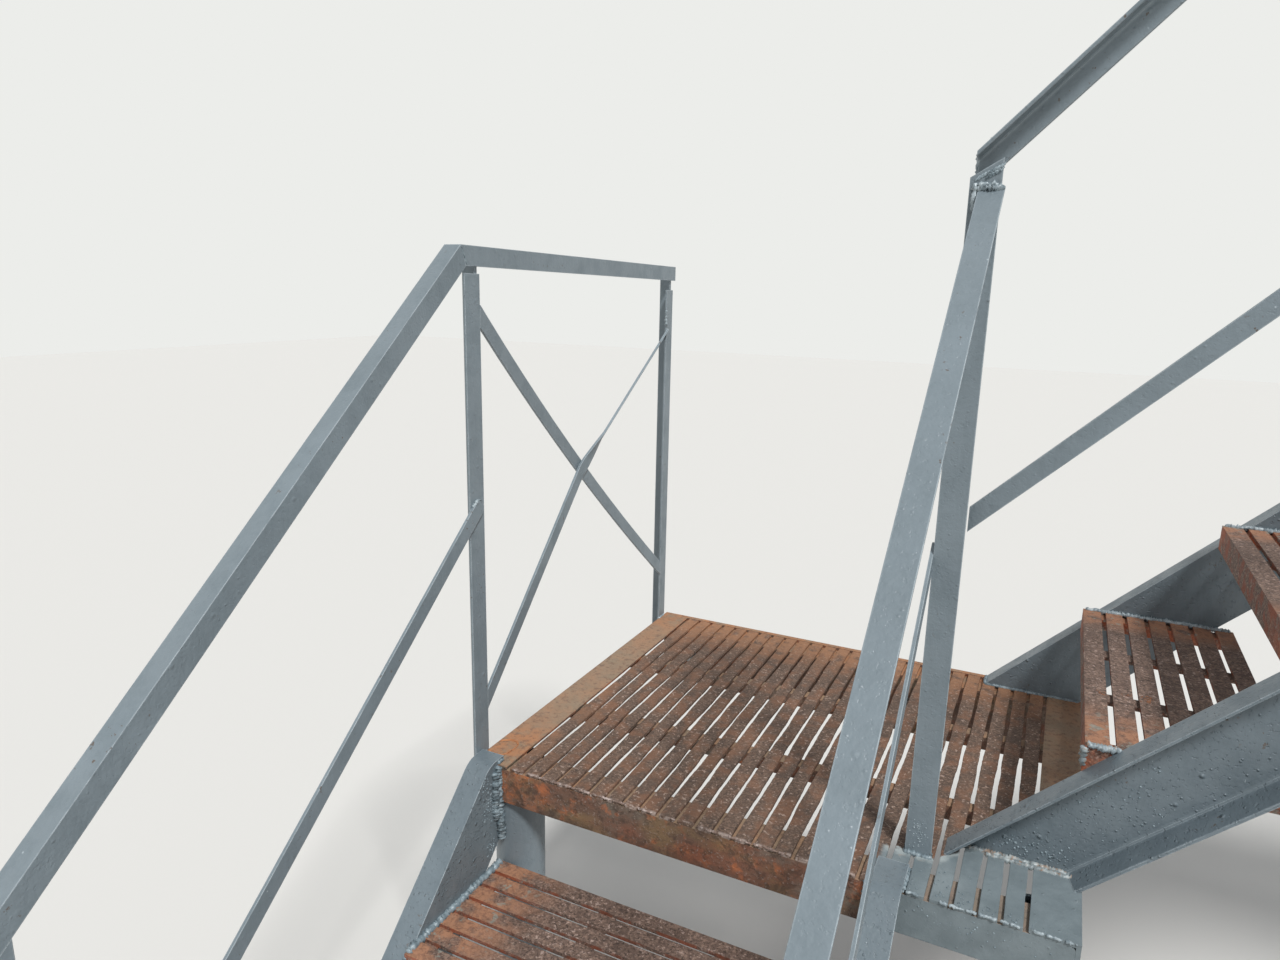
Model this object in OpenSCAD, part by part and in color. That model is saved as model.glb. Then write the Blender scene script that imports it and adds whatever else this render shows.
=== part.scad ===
// Fire escape stair: a slatted landing on pipe columns, a short flight down
// to the ground in front and a flight up along the wall to a top landing.
// +X runs along the wall the way the upper flight climbs, +Y into the wall,
// +Z up. The origin lies on the wall face of the lower landing's ledger.

/* [Landings] */
// Length of each landing along the wall
deck_w = 960; // [800:10:1300]
// Depth of the lower landing out from the wall
deck_d = 804; // [720:4:1000]
// Height of the flat bar that is bolted to the wall
ledger_h = 127; // [110:1:180]
// Thickness of the flat bar that is bolted to the wall
ledger_t = 12.7; // [8:0.1:20]
// Leg of the landing's edge angles
edge_leg = 63.5; // [50:0.5:80]
// Thickness of the landing's edge angles
edge_t = 6.35; // [4:0.05:9]
// Width of one landing slat
slat_w = 25.4; // [18:0.1:29]
// Thickness of the slats and of the treads' bars
slat_t = 6.35; // [4:0.05:9]
// Number of slats on a landing
slat_n = 26; // [20:1:28]
// How far a slat may lie off its even spacing
slat_wander = 0.9; // [0:0.1:1.2]
// Leg of the cross bars under the slats
cross_leg = 25.4; // [20:0.1:40]
// Thickness of the cross bars
cross_t = 4.8; // [3:0.1:8]
// Diameter of the holes for wall and floor anchors
anchor_d = 14; // [10:0.5:18]

/* [Columns] */
// Outside diameter of the pipe columns
pipe_d = 88.9; // [70:0.1:110]
// Wall of the pipe columns
pipe_t = 5.5; // [3:0.1:8]
// Side of the columns' square base plates
base_w = 150; // [130:1:200]
// Thickness of base and foot plates
base_t = 10; // [6:0.5:16]
// Distance between a base plate's anchor holes
base_pitch = 112; // [108:1:114]
// Gap between the columns and the end angles
column_gap = 5.5; // [0:0.5:12]

/* [Flights] */
// Height of one step
riser = 203; // [180:1:220]
// Run of one step
going = 208; // [200:1:250]
// Number of risers from the ground to the lower landing
lower_n = 4; // [4:1:4]
// Number of risers from the lower landing to the top landing
upper_n = 8; // [8:1:8]
// Depth of the channel stringers
chan_h = 127; // [110:0.5:150]
// Width of the channels' flanges
chan_b = 44.5; // [38:0.1:50]
// Web thickness of the channels
chan_web = 4.8; // [4:0.1:8]
// Mean flange thickness of the channels
chan_tf = 8.1; // [6:0.1:10]
// Clear width of the lower flight between its webs
lower_clear = 645.5; // [560:0.5:660]
// Clear width of the upper flight between its webs
upper_clear = 603; // [520:1:640]
// Gap between the wall and the wall stringer's flange tips
wall_gap = 2; // [1:0.5:4]
// Where the upper flight's flange line leaves the lower landing, from its left end
upper_start = 774; // [740:1:780]
// How far in front of a landing its stringers' flange line meets its level
line_start = 30; // [24:1:40]
// How far the upper stringers' bent flanges lap onto the slats
flange_lap = 42; // [20:1:50]
// The same for the lower left stringer
left_lap = 18; // [14:1:50]
// The same for the lower right stringer
right_lap = 50; // [20:1:56]
// Bend radius of the stringers' top flanges
flange_bend = 44; // [30:1:60]

/* [Treads] */
// Width of one tread slat
tread_slat = 28.6; // [22:0.1:32]
// Gap between tread slats
tread_gap = 8.4; // [5:0.1:12]
// Number of flat slats behind the nosing
tread_slats = 6; // [5:1:6]
// Width of the nosing angle's top leg
nose_w = 31.8; // [26:0.1:36]
// Depth of the nosing angle's front leg
nose_h = 44.5; // [35:0.5:55]
// Thickness of the nosing angle
nose_t = 5; // [4:0.1:7]
// Width of the bars that tie a tread's slats
tie_w = 30; // [20:0.5:40]
// How far the lower treads' nosings stand in front of the flange line
lower_poke = 12; // [5:1:30]
// How far the lower treads lie above even steps
lower_lift = 11; // [0:1:16]
// How far the upper treads' nosings stand in front of the flange line
upper_poke = 42; // [30:1:50]

/* [Guards and rails] */
// Leg of the rail and post angles
rail_leg = 31.8; // [28:0.1:40]
// Thickness of the rail and post angles
rail_t = 4.8; // [3.5:0.1:6]
// Leg of the newel angle
newel_leg = 38.1; // [34:0.1:42]
// Width of the flat bars of mid rails and braces
flat_w = 25.4; // [18:0.1:32]
// Thickness of the flat bars
flat_t = 4.8; // [3:0.1:6]
// Height of the guard rail above the lower landing
guard_h = 877.5; // [800:0.5:1000]
// Fall of the guard rail from the corner to the wall
guard_fall = 12; // [0:1:20]
// Gap between the guard rail and the wall post's flat leg
wall_post_gap = 22; // [10:1:30]
// The same at the front post
front_post_gap = 11; // [6:1:30]
// Height of the top landing's guard rail
top_guard_h = 965; // [920:5:1020]
// Height of the right handrail where it meets the newel
right_rail_h = 947; // [930:1:955]
// Fall of the lower handrails for each millimetre outward
lower_fall = 0.89; // [0.82:0.01:0.95]
// The same for the right handrail
right_fall = 0.914; // [0.86:0.002:0.96]
// The same for the right mid rail
right_mid_fall = 0.82; // [0.78:0.01:0.9]
// How far the right handrail stands past the newel's heel
rail_step = 10.6; // [2:0.2:14]
// Drift of the right handrail towards the flight for each metre outward
rail_drift = 16; // [0:1:20]
// Height of the mid rails at the lower landing's posts
mid_h = 452; // [400:1:520]
// How far the newel's heel rises past the upper handrail's lower edge
newel_cover = 17; // [8:0.5:24]
// How much higher the newel's sloping top is at its toe
newel_rise = 22.5; // [18:0.5:30]
// Height of the upper handrail at the newel
upper_rail_h = 989; // [978:1:1000]
// Height of the upper mid rail at the newel
upper_mid_h = 494.5; // [460:0.5:520]
// Height of the top landing's mid rail
top_mid_h = 479; // [440:1:520]
// Height of the falling brace's wall end above its landing
brace_low = 134; // [100:1:180]
// Distance of the falling brace's front end below the guard rail
brace_high = 109; // [80:1:160]
// Height of the rising brace's front end above its landing
rise_low = 97; // [80:1:160]
// Distance of the rising brace's wall end below the guard rail
rise_high = 155; // [100:1:180]
// Height above its landing at which the rising brace's two arms meet
rise_cross_z = 449; // [430:1:470]
// Distance of the same point from the wall
rise_cross_y = 413; // [395:1:435]
// How far the falling brace bows outward at mid length
brace_bow = 20; // [16:1:40]
// Angle by which the rising brace's upper arm is twisted about its length
brace_twist = 37; // [20:1:60]
// How far the guard posts lap down over the edge angle
post_lap = 58; // [40:1:62]
// How far the posts at the foot lap down over the flange tips
foot_post_lap = 70; // [30:1:90]

/* [Foot plates] */
// How far a stringer's foot plate runs past the flange tips
plate_side = 40; // [36:1:60]
// How far a stringer's foot plate runs past the web
plate_back = 6; // [2:1:12]
// How far a stringer's foot plate runs past the channel's cut foot at each end
plate_end = 12; // [4:1:30]

/* [Top struts] */
// Distance of each strut from the end of its landing
strut_inset = 70; // [60:1:120]
// Leg of the struts' angles
strut_leg = 50; // [40:1:60]
// Thickness of the struts' angles
strut_t = 6; // [4:0.5:8]
// Width of a strut's wall plate
plate_w = 120; // [110:1:140]
// Height of a strut's wall plate
plate_h = 180; // [170:1:220]
// Thickness of a strut's wall plate
plate_t = 10; // [6:0.5:14]
// Distance across between a wall plate's anchor holes
plate_px = 80; // [70:1:86]
// Distance up between a wall plate's anchor holes
plate_pz = 130; // [120:1:140]

/* [Hidden] */
$fn = 48;

paint = "slategray";
rust = "sienna";
eps = 0.01;
far = 6000;
// Length by which a sloping bar starts before its first cut
over = 300;

// Levels
deck_z = ledger_h / 2;
top_z = deck_z + upper_n * riser;
ground_z = deck_z - lower_n * riser;
// Landing ends
left_x = -deck_w / 2;
right_x = deck_w / 2;
// Slope of both flights' stringers
slope = atan(riser / going);
// Lower flight
ll_x = left_x + chan_b;
lr_x = ll_x + lower_clear;
left_tip = left_x;
right_tip = lr_x + chan_b;
lower_line_y = -deck_d - line_start;
// Upper flight
up_x = left_x + upper_start;
wall_web_y = -wall_gap - chan_b;
outer_web_y = wall_web_y - upper_clear;
up_nose_x = up_x + going - upper_poke;
// Lengths that the sloping channels are cut from
lower_bar = lower_n * going / cos(slope) + 4 * over;
upper_bar = upper_n * going / cos(slope) + 4 * over;
// Tread depth from nosing to back edge
tread_d = nose_w + tread_slats * (tread_slat + tread_gap);
// Newel
newel_x = right_tip - 14;
right_rail_x = newel_x + rail_step;
newel_y = outer_web_y - chan_b - 18;
// The upper rails' plane, where the posts' legs and the handrail's web stand
rail_y = newel_y + rail_t + rail_leg + 0.2;
// Top landing
top_x = up_x + upper_n * going + line_start;
top_d = -rail_y;

// Points on an arc
function arc(c, r, a0, a1, n = 4) =
  [for (i = [0:n]) let (a = a0 + (a1 - a0) * i / n) c + r * [cos(a), sin(a)]];

// Rolled angle: heel at the origin, legs along +x and +y
function angle_pts(a, b, t) =
  let (toe = t / 2, root = t * 0.9)
  concat(
    [[0, 0], [a, 0]],
    arc([a - toe, t - toe], toe, 0, 90, 3),
    arc([t + root, t + root], root, 270, 180, 3),
    arc([t - toe, b - toe], toe, 0, 90, 3),
    [[0, b]]
  );

// Half of a rolled channel's inner outline, from the toe to the web
function flange_inner(b, tw, tf) =
  let (
    run = b - tw,
    toe_t = tf - run / 12,
    root_t = tf + run / 12,
    r = tf * 0.8
  )
  concat(
    arc([b - toe_t * 0.4, toe_t * 0.62], toe_t * 0.4, 0, 80, 3),
    arc([tw + r, root_t - r / 6 + r], r, 262, 180, 3)
  );

// Rolled channel: the web's back on x = 0 from y = 0 down to y = -h
function channel_pts(h, b, tw, tf) =
  let (half = flange_inner(b, tw, tf), n = len(half))
  concat(
    [[0, 0], [0, -h], [b, -h]],
    [for (p = half) [p[0], p[1] - h]],
    [for (i = [n - 1:-1:0]) [half[i][0], -half[i][1]]],
    [[b, 0]]
  );

// Extrudes a side view in the plane across the wall along +X
module side_yz(pts, x0, x1) {
  translate([x0, 0, 0])
    rotate([90, 0, 90])
      linear_extrude(x1 - x0)
        polygon(pts);
}

// Extrudes a side view in the wall's plane between two depths
module side_xz(pts, y0, y1) {
  translate([0, y1, 0])
    rotate([90, 0, 0])
      linear_extrude(y1 - y0)
        polygon(pts);
}

// Runs a section down the lower flight: section x stays X, section y is square to the slope
module down_flight(y, z, len, a) {
  translate([0, y, z])
    rotate([90 + a, 0, 0])
      linear_extrude(len)
        children();
}

// Runs a section up the upper flight: section x becomes +Y, section y is square to the slope
module up_flight(x, z, len, a) {
  translate([x, 0, z])
    rotate([0, -a, 0])
      rotate([90, 0, 90])
        linear_extrude(len)
          children();
}

// Landing parts, for a landing whose left end is at x0, top at z and depth d

module ledger(x0, z) {
  difference() {
    translate([x0, -ledger_t, z - ledger_h])
      cube([deck_w, ledger_t, ledger_h]);
    for (f = [-1, -1 / 3, 1 / 3, 1])
      translate([x0 + deck_w / 2 + f * (deck_w / 2 - 80), eps, z - ledger_h + 29])
        rotate([90, 0, 0])
          cylinder(d = anchor_d, h = ledger_t + 2 * eps);
  }
}

module back_angle(x0, z) {
  side_x0 = x0 + edge_t;
  side_x1 = x0 + deck_w - edge_t;
  side_yz(
    [for (p = angle_pts(edge_leg, edge_leg, edge_t)) [-ledger_t - p[0], z - slat_t - p[1]]],
    side_x0, side_x1
  );
}

module front_angle(x0, z, d) {
  side_yz(
    [for (p = angle_pts(edge_leg, edge_leg, edge_t)) [-d + p[0], z - slat_t - p[1]]],
    x0 + edge_t, x0 + deck_w - edge_t
  );
}

// Side angle with its top leg flush with the slats; dir is 1 where the leg points to +X
module side_angle(x, z, d, dir) {
  side_xz(
    [for (p = angle_pts(edge_leg, edge_leg, edge_t)) [x + dir * p[0], z - p[1]]],
    -d, -ledger_t
  );
}

module cross_bars(x0, z, d) {
  for (f = [1 / 3, 2 / 3])
    side_yz(
      [for (p = angle_pts(cross_leg, cross_leg, cross_t))
        [-d * f - cross_leg / 2 + p[0], z - slat_t - p[1]]],
      x0 + edge_t, x0 + deck_w - edge_t
    );
}

function slat_x(x0, i) =
  let (
    clear = deck_w - 2 * edge_leg,
    gap = (clear - slat_n * slat_w) / (slat_n + 1)
  )
  x0 + edge_leg + gap + i * (slat_w + gap) + slat_wander * sin(i * 137);

module slats(x0, z, d) {
  for (i = [0:slat_n - 1])
    translate([slat_x(x0, i), -d, z - slat_t])
      cube([slat_w, d - ledger_t, slat_t]);
}

// Pipe column tucked into the corner of the edge angles; dir is 1 at the left end, -1 at the right
module column(x, dir) {
  cx = x + dir * (edge_t + column_gap + pipe_d / 2);
  cy = -deck_d + edge_t + pipe_d / 2;
  pipe_top = deck_z - slat_t - edge_t;
  difference() {
    translate([cx, cy, ground_z + base_t])
      cylinder(d = pipe_d, h = pipe_top - ground_z - base_t);
    translate([cx, cy, ground_z + base_t + 3])
      cylinder(d = pipe_d - 2 * pipe_t, h = pipe_top - ground_z);
  }
  difference() {
    translate([cx - base_w / 2, cy - base_w / 2, ground_z])
      cube([base_w, base_w, base_t]);
    for (i = [-1, 1], j = [-1, 1])
      translate([cx + i * base_pitch / 2, cy + j * base_pitch / 2, ground_z - eps])
        cylinder(d = anchor_d, h = base_t + 2 * eps);
  }
}

// Side view of a stringer: u runs towards the landing it climbs to, whose edge is at u1
corner_run = chan_tf / tan(slope);
bend_r = min(flange_bend, 0.97 * (line_start - corner_run) / tan(slope / 2));
function bend_centre(u1, z) =
  [u1 - line_start + corner_run + bend_r * tan(slope / 2), z + chan_tf - bend_r];
function bend_outer(u1, z) = arc(bend_centre(u1, z), bend_r, 90, 90 + slope, 6);
// what is left of the sloping channel, with its foot cut level at z0
function stringer_side(u1, z, z0) =
  let (bend = bend_outer(u1, z), chord = bend[6] - bend[5])
  concat(
    [[u1, z0], [u1, z + chan_tf]],
    bend,
    [bend[6] + 9 * chord, [u1 - 3000, (bend[6] + 9 * chord)[1]], [u1 - 3000, z0]]
  );
// the top flange, bent level and lapped onto the slats
function lap_side(u1, z, lap) =
  let (bend = bend_outer(u1, z), c = bend_centre(u1, z))
  concat(
    [[u1 + lap, z + chan_tf]],
    [for (i = [0:4]) bend[i]],
    [for (i = [4:-1:0]) c + (bend[i] - c) * (1 - chan_tf / bend_r)],
    [[u1 + lap, z]]
  );

// Lower stringer: web back at x, flanges towards dir
module lower_stringer(x, dir, lap) {
  foot_z = ground_z + base_t;
  foot_y = lower_line_y - (deck_z - foot_z) / tan(slope);
  foot_run = chan_h / sin(slope);
  x0 = min(x, x + dir * chan_b);
  intersection() {
    down_flight(lower_line_y + over * cos(slope), deck_z + over * sin(slope), lower_bar, slope)
      polygon([for (p = channel_pts(chan_h, chan_b, chan_web, chan_tf)) [x + dir * p[0], p[1]]]);
    side_yz(stringer_side(-deck_d, deck_z, foot_z), x0 - 1, x0 + chan_b + 1);
  }
  side_yz(lap_side(-deck_d, deck_z, lap), x0, x0 + chan_b);
  difference() {
    translate([min(x - dir * plate_back, x + dir * (chan_b + plate_side)), foot_y - plate_end, ground_z])
      cube([chan_b + plate_back + plate_side, foot_run + 2 * plate_end, base_t]);
    for (f = [0.2, 0.8])
      translate([x + dir * (chan_b + plate_side / 2), foot_y + f * foot_run, ground_z - eps])
        cylinder(d = anchor_d, h = base_t + 2 * eps);
  }
}

// Tread: nosing along x at y = 0, slats behind it, top at z = 0
module tread(len) {
  side_yz([for (p = angle_pts(nose_w, nose_h, nose_t)) [p[0], -p[1]]], 0, len);
  translate([0, nose_t * 1.9, -slat_t])
    cube([len, nose_w - nose_t * 1.9, slat_t]);
  for (i = [0:tread_slats - 1])
    translate([0, nose_w + tread_gap + i * (tread_slat + tread_gap), -slat_t])
      cube([len, tread_slat, slat_t]);
  // ties under the slats
  for (f = [0.36, 0.68])
    translate([f * len - tie_w / 2, nose_t, -2 * slat_t])
      cube([tie_w, tread_d - nose_t, slat_t]);
  // end angles against the webs
  for (m = [0, 1])
    translate([m * len, 0, 0])
      mirror([m, 0, 0])
        translate([0, tread_d, -slat_t])
          rotate([90, 0, 0])
            linear_extrude(tread_d - nose_t)
              polygon([for (p = angle_pts(rail_leg, rail_leg, rail_t)) [p[0], -p[1]]]);
}

module lower_tread(i) {
  translate([ll_x, lower_line_y - i * going - lower_poke, deck_z - i * riser + lower_lift])
    tread(lower_clear);
}

module upper_tread(i) {
  translate([up_nose_x + (i - 1) * going, wall_web_y, deck_z + i * riser])
    rotate([0, 0, -90])
      tread(upper_clear);
}

// Lower flight's rails
corner_y = -deck_d - 9;
lower_a = atan(lower_fall);
right_a = atan(right_fall);
foot_post_y = lower_line_y - (lower_n - 0.45) * going;
rail_end_y = foot_post_y - 52;

// Upper line of the left handrail, in the landing's end plane
module left_run() {
  translate([left_x, 0, 0])
    down_flight(corner_y + over * cos(lower_a), guard_z + over * sin(lower_a), lower_bar, lower_a)
      children();
}

// Upper line of the right handrail, which swings about its end at the newel
module right_run() {
  translate([right_rail_x, newel_y, deck_z + right_rail_h])
    rotate([0, 0, -atan(rail_drift / 1000)])
      down_flight(over * cos(right_a), over * sin(right_a), lower_bar, right_a)
        children();
}

// Right handrail down the lower flight, with its top leg towards +X
module right_handrail() {
  intersection() {
    right_run()
      polygon([for (p = angle_pts(rail_leg, rail_leg, rail_t)) [p[0], -p[1]]]);
    side_yz([[newel_y, -far], [newel_y, far], [rail_end_y, far], [rail_end_y, -far]], -far, far);
  }
}

// Room for a rail of the given face and direction, in its own section
module rail_room(x, dir) {
  translate([x - 80, -rail_t])
    square([160, 300]);
  translate([min(x - dir, x + dir * (rail_t + 0.2)), -rail_leg])
    square([rail_t + 1.2, 300]);
}

// Post at the foot, on the flange tips at x, under the handrail given as its child
module lower_post(x, dir) {
  flange_z = deck_z - (lower_line_y - foot_post_y) * tan(slope);
  difference() {
    translate([x, foot_post_y, flange_z - foot_post_lap])
      linear_extrude(right_rail_h + 2 * foot_post_lap)
        polygon([for (p = angle_pts(rail_leg, rail_leg, rail_t)) [dir * p[0], p[1]]]);
    children();
  }
}

// Flat bar in the plane across the wall, between two points with round ends
module flat_yz(x0, a, b) {
  run = norm(b - a);
  lean = atan2(b[1] - a[1], b[0] - a[0]);
  translate([x0, a[0], a[1]])
    rotate([90, 0, 90])
      rotate([0, 0, lean])
        linear_extrude(flat_t)
          union() {
            translate([0, -flat_w / 2])
              square([run, flat_w]);
            circle(d = flat_w);
            translate([run, 0])
              circle(d = flat_w);
          }
}

// Left mid rail, from the front guard post to the post at the foot
module left_midrail() {
  z0 = deck_z + mid_h;
  y0 = front_heel_y - newel_leg / 2;
  y1 = foot_post_y + rail_leg / 2;
  flat_yz(left_tip, [y0, z0], [y1, z0 - (y0 - y1) * lower_fall]);
}

// Right mid rail, from the newel's inner side out to the post at the foot
module right_midrail() {
  y0 = newel_y + newel_leg / 2;
  y1 = foot_post_y + rail_leg / 2;
  z0 = deck_z + mid_h + 12;
  drift = atan((right_tip - 0.25 - newel_x) / (newel_y - y1));
  translate([newel_x, newel_y, 0])
    rotate([0, 0, drift])
      translate([-newel_x, -newel_y, 0])
        flat_yz(newel_x - flat_t, [y0, z0], [y1, z0 - (y0 - y1) * right_mid_fall]);
}

// Guard along the landing's left end
guard_z = deck_z + guard_h;
guard_lean = atan(guard_fall / (-corner_y));
wall_heel_y = -17;
front_heel_y = -deck_d + 36;
wall_post_y = -34;

// Upper line of the guard rail, which falls towards the wall
module guard_run() {
  down_flight(0, guard_z - guard_fall, 2000, -guard_lean)
    children();
}

// Guard post: its back at y, one leg outward and one along the end angle
module guard_post(y, leg, gap) {
  difference() {
    translate([left_x, y, deck_z - post_lap])
      linear_extrude(post_lap + guard_h + 20)
        polygon([for (p = angle_pts(rail_leg, leg, rail_t)) [-p[0], -p[1]]]);
    // room for the rail's top leg
    guard_run()
      translate([left_x - 100, -rail_t])
        square([200, 300]);
    // the flat leg ends short of the rail's web
    guard_run()
      translate([left_x - rail_t - 0.2, -rail_leg - gap])
        square([rail_t + 1.2, 300]);
  }
}

// Post of an end guard: outer face of the edge angle at x, legs outward and towards dy
module end_post(x, dx, y, dy, z, h) {
  difference() {
    translate([x, y, z - post_lap])
      linear_extrude(post_lap + h - rail_t)
        polygon([for (p = angle_pts(rail_leg, rail_leg, rail_t)) [dx * p[0], dy * p[1]]]);
    translate([min(x - dx, x + dx * (rail_t + 0.2)), y - 100, z + h - rail_leg])
      cube([rail_t + 1.2, 200, 200]);
  }
}

module guard_top_rail() {
  // mitred to the handrail at half of the angle between them
  half = (lower_a - guard_lean) / 2;
  drop = rail_leg + 2;
  color(paint)
    intersection() {
      guard_run()
        polygon([for (p = angle_pts(rail_leg, rail_leg, rail_t)) [left_x - p[0], -p[1]]]);
      side_yz(
        [
          [corner_y - tan(half), guard_z + 1],
          [corner_y + drop * tan(half), guard_z - drop],
          [-4, guard_z - drop - guard_fall],
          [-4, guard_z + 1]
        ],
        left_x - far, far
      );
    }
}

module left_handrail() {
  half = (lower_a - guard_lean) / 2;
  drop = rail_leg * 4;
  color(paint)
    intersection() {
      left_run()
        polygon([for (p = angle_pts(rail_leg, rail_leg, rail_t)) [-p[0], -p[1]]]);
      side_yz(
        [
          [corner_y, guard_z],
          [corner_y + drop * tan(half), guard_z - drop],
          [corner_y + drop * tan(half), -far],
          [rail_end_y, -far],
          [rail_end_y, guard_z]
        ],
        -far, far
      );
    }
}

// Points of a guard's braces, in the end angle's plane
brace_y0 = front_heel_y;
brace_y1 = wall_heel_y - rail_leg;

// Flat bar in the end's plane between two heights, bowed outward and cut upright at its ends
module guard_brace_down() {
  z0 = guard_z - brace_high;
  z1 = deck_z + brace_low;
  run = norm([brace_y1 - brace_y0, z1 - z0]);
  lean = atan2(z1 - z0, brace_y1 - brace_y0);
  r = run * run / (8 * brace_bow) + brace_bow / 2;
  span = asin(run / 2 / r) + 0.6;
  color(paint)
    intersection() {
      translate([left_x, brace_y0, z0])
        rotate([lean, 0, 0])
          translate([0, 0, -flat_w / 2])
            linear_extrude(flat_w)
              polygon(concat(
                arc([r - brace_bow, run / 2], r, 180 - span, 180 + span, 14),
                arc([r - brace_bow, run / 2], r + flat_t, 180 + span, 180 - span, 14)
              ));
      side_yz([[brace_y0, 0], [brace_y0, far], [brace_y1, far], [brace_y1, 0]], -far, far);
    }
}

// Runs a section from point a to point b; its x lies along the bar's width
module along(a, b, start = 0) {
  d = b - a;
  translate(a)
    rotate([0, acos(d[2] / norm(d)), atan2(d[1], d[0])])
      translate([0, 0, start])
        children();
}

// Brace in two arms that meet behind the bowed brace; the upper arm is twisted about its length
module guard_brace_up() {
  mid = left_x - brace_bow + flat_t / 2 + 1;
  a = [left_x - flat_t / 2, brace_y0, deck_z + rise_low];
  p = [mid, -rise_cross_y, deck_z + rise_cross_z];
  b = [left_x - flat_t / 2, brace_y1, guard_z - guard_fall - rise_high];
  plain = 22;
  turn = 80;
  color(paint)
    intersection() {
      union() {
        along(a, p, -40)
          linear_extrude(norm(p - a) + 44)
            square([flat_w, flat_t], center = true);
        along(p, b, -4)
          linear_extrude(plain + 4)
            square([flat_w, flat_t], center = true);
        along(p, b, plain)
          linear_extrude(turn, twist = -brace_twist, slices = 10)
            square([flat_w, flat_t], center = true);
        along(p, b, plain + turn)
          linear_extrude(norm(b - p) - plain - turn + 40)
            rotate([0, 0, brace_twist])
              square([flat_w, flat_t], center = true);
      }
      side_yz([[brace_y0, 0], [brace_y0, far], [brace_y1, far], [brace_y1, 0]], -far, far);
    }
}

// Newel angle with a sloping top; the upper handrail's web butts against its side leg
module newel_post() {
  head_z = deck_z + upper_rail_h - rail_leg / cos(slope) + newel_cover;
  color(paint)
    intersection() {
      translate([newel_x, newel_y, deck_z])
        linear_extrude(upper_rail_h + 2 * newel_rise)
          polygon(angle_pts(newel_leg, newel_leg, rail_t));
      side_xz(
        [
          [newel_x - newel_leg, 0],
          [newel_x - newel_leg, head_z - newel_rise],
          [newel_x + 2 * newel_leg, head_z + 2 * newel_rise],
          [newel_x + 2 * newel_leg, 0]
        ],
        -far, far
      );
    }
}

// Upper flight's outer stringer, flanges away from the treads
module upper_stringer() {
  y0 = outer_web_y - chan_b;
  intersection() {
    up_flight(up_x - over * cos(slope), deck_z - over * sin(slope), upper_bar, slope)
      polygon([for (p = channel_pts(chan_h, chan_b, chan_web, chan_tf)) [outer_web_y - p[0], p[1]]]);
    side_xz(stringer_side(top_x, top_z, deck_z), y0 - 1, y0 + chan_b + 1);
  }
  side_xz(lap_side(top_x, top_z, flange_lap), y0, y0 + chan_b);
}

// The wall stringer, the outer one's mirror image
module upper_stringer_mirrored() {
  translate([0, outer_web_y + wall_web_y, 0])
    mirror([0, 1, 0])
      upper_stringer();
}

// Upper flight's rails
rail_x0 = newel_x;
function upper_rail_z(h, x) = deck_z + h + (x - rail_x0) * tan(slope);
top_guard_z = top_z + top_guard_h;
// where the handrail reaches the top guard's level
top_mitre_x = rail_x0 + (top_guard_z - upper_rail_z(upper_rail_h, rail_x0)) / tan(slope);

// Upper line of the upper handrail
module upper_run() {
  z0 = upper_rail_z(upper_rail_h, rail_x0);
  up_flight(rail_x0 - over * cos(slope), z0 - over * sin(slope), upper_bar, slope)
    children();
}

module upper_handrail() {
  start_x = newel_x + rail_t;
  half = slope / 2;
  drop = rail_leg * 4;
  color(paint)
    intersection() {
      upper_run()
        polygon([for (p = angle_pts(rail_leg, rail_leg, rail_t)) [rail_y - p[0], -p[1]]]);
      side_xz(
        [
          [start_x, -far],
          [start_x, top_guard_z],
          [top_mitre_x, top_guard_z],
          [top_mitre_x + drop * tan(half), top_guard_z - drop],
          [top_mitre_x + drop * tan(half), -far]
        ],
        -far, far
      );
    }
}

mid_y = rail_y - rail_t - flat_t;
top_mid_z = top_z + top_mid_h;
mid_x0 = newel_x + newel_leg;
top_mid_x = rail_x0 + (top_mid_z - upper_rail_z(upper_mid_h, rail_x0)) / tan(slope);

module upper_midrail() {
  w = flat_w / cos(slope);
  half = slope / 2;
  color(paint)
    side_xz(
      [
        [mid_x0, upper_rail_z(upper_mid_h, mid_x0) - w],
        [mid_x0, upper_rail_z(upper_mid_h, mid_x0)],
        [top_mid_x, top_mid_z],
        [top_mid_x + flat_w * tan(half), top_mid_z - flat_w]
      ],
      mid_y, mid_y + flat_t
    );
}

// Post halfway up, standing on the outer stringer's flange
module upper_post() {
  x = up_nose_x + 3.2 * going;
  flange_z = deck_z + (x - up_x) * tan(slope);
  color(paint)
    difference() {
      translate([x, rail_y, flange_z - 10])
        linear_extrude(upper_rail_h + 100)
          polygon([for (p = angle_pts(rail_leg, rail_leg, rail_t)) [p[0], -p[1]]]);
      upper_run()
        rail_room(rail_y, -1);
      // below the flange line
      side_xz(
        [
          [x - 50, flange_z - 200],
          [x - 50, flange_z - 50 * tan(slope)],
          [x + 80, flange_z + 80 * tan(slope)],
          [x + 80, flange_z - 200]
        ],
        -far, far
      );
    }
}

// Top landing's guard
top_r = top_x + deck_w;
newel_top_x = top_x + flange_lap + 16;
corner_post_y = rail_y + 24;

module top_posts() {
  // at the head of the flight, lapped on the landing's front face
  difference() {
    translate([newel_top_x, rail_y, top_z - post_lap])
      linear_extrude(post_lap + top_guard_h - rail_t)
        polygon([for (p = angle_pts(rail_leg, rail_leg, rail_t)) [p[0], -p[1]]]);
    translate([newel_top_x - 1, rail_y - rail_t - 0.2, top_guard_z - rail_leg])
      cube([rail_leg + 2, rail_t + 1.2, 200]);
  }
  end_post(top_r, 1, corner_post_y, 1, top_z, top_guard_h);
  end_post(top_r, 1, wall_post_y, -1, top_z, top_guard_h);
}

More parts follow.
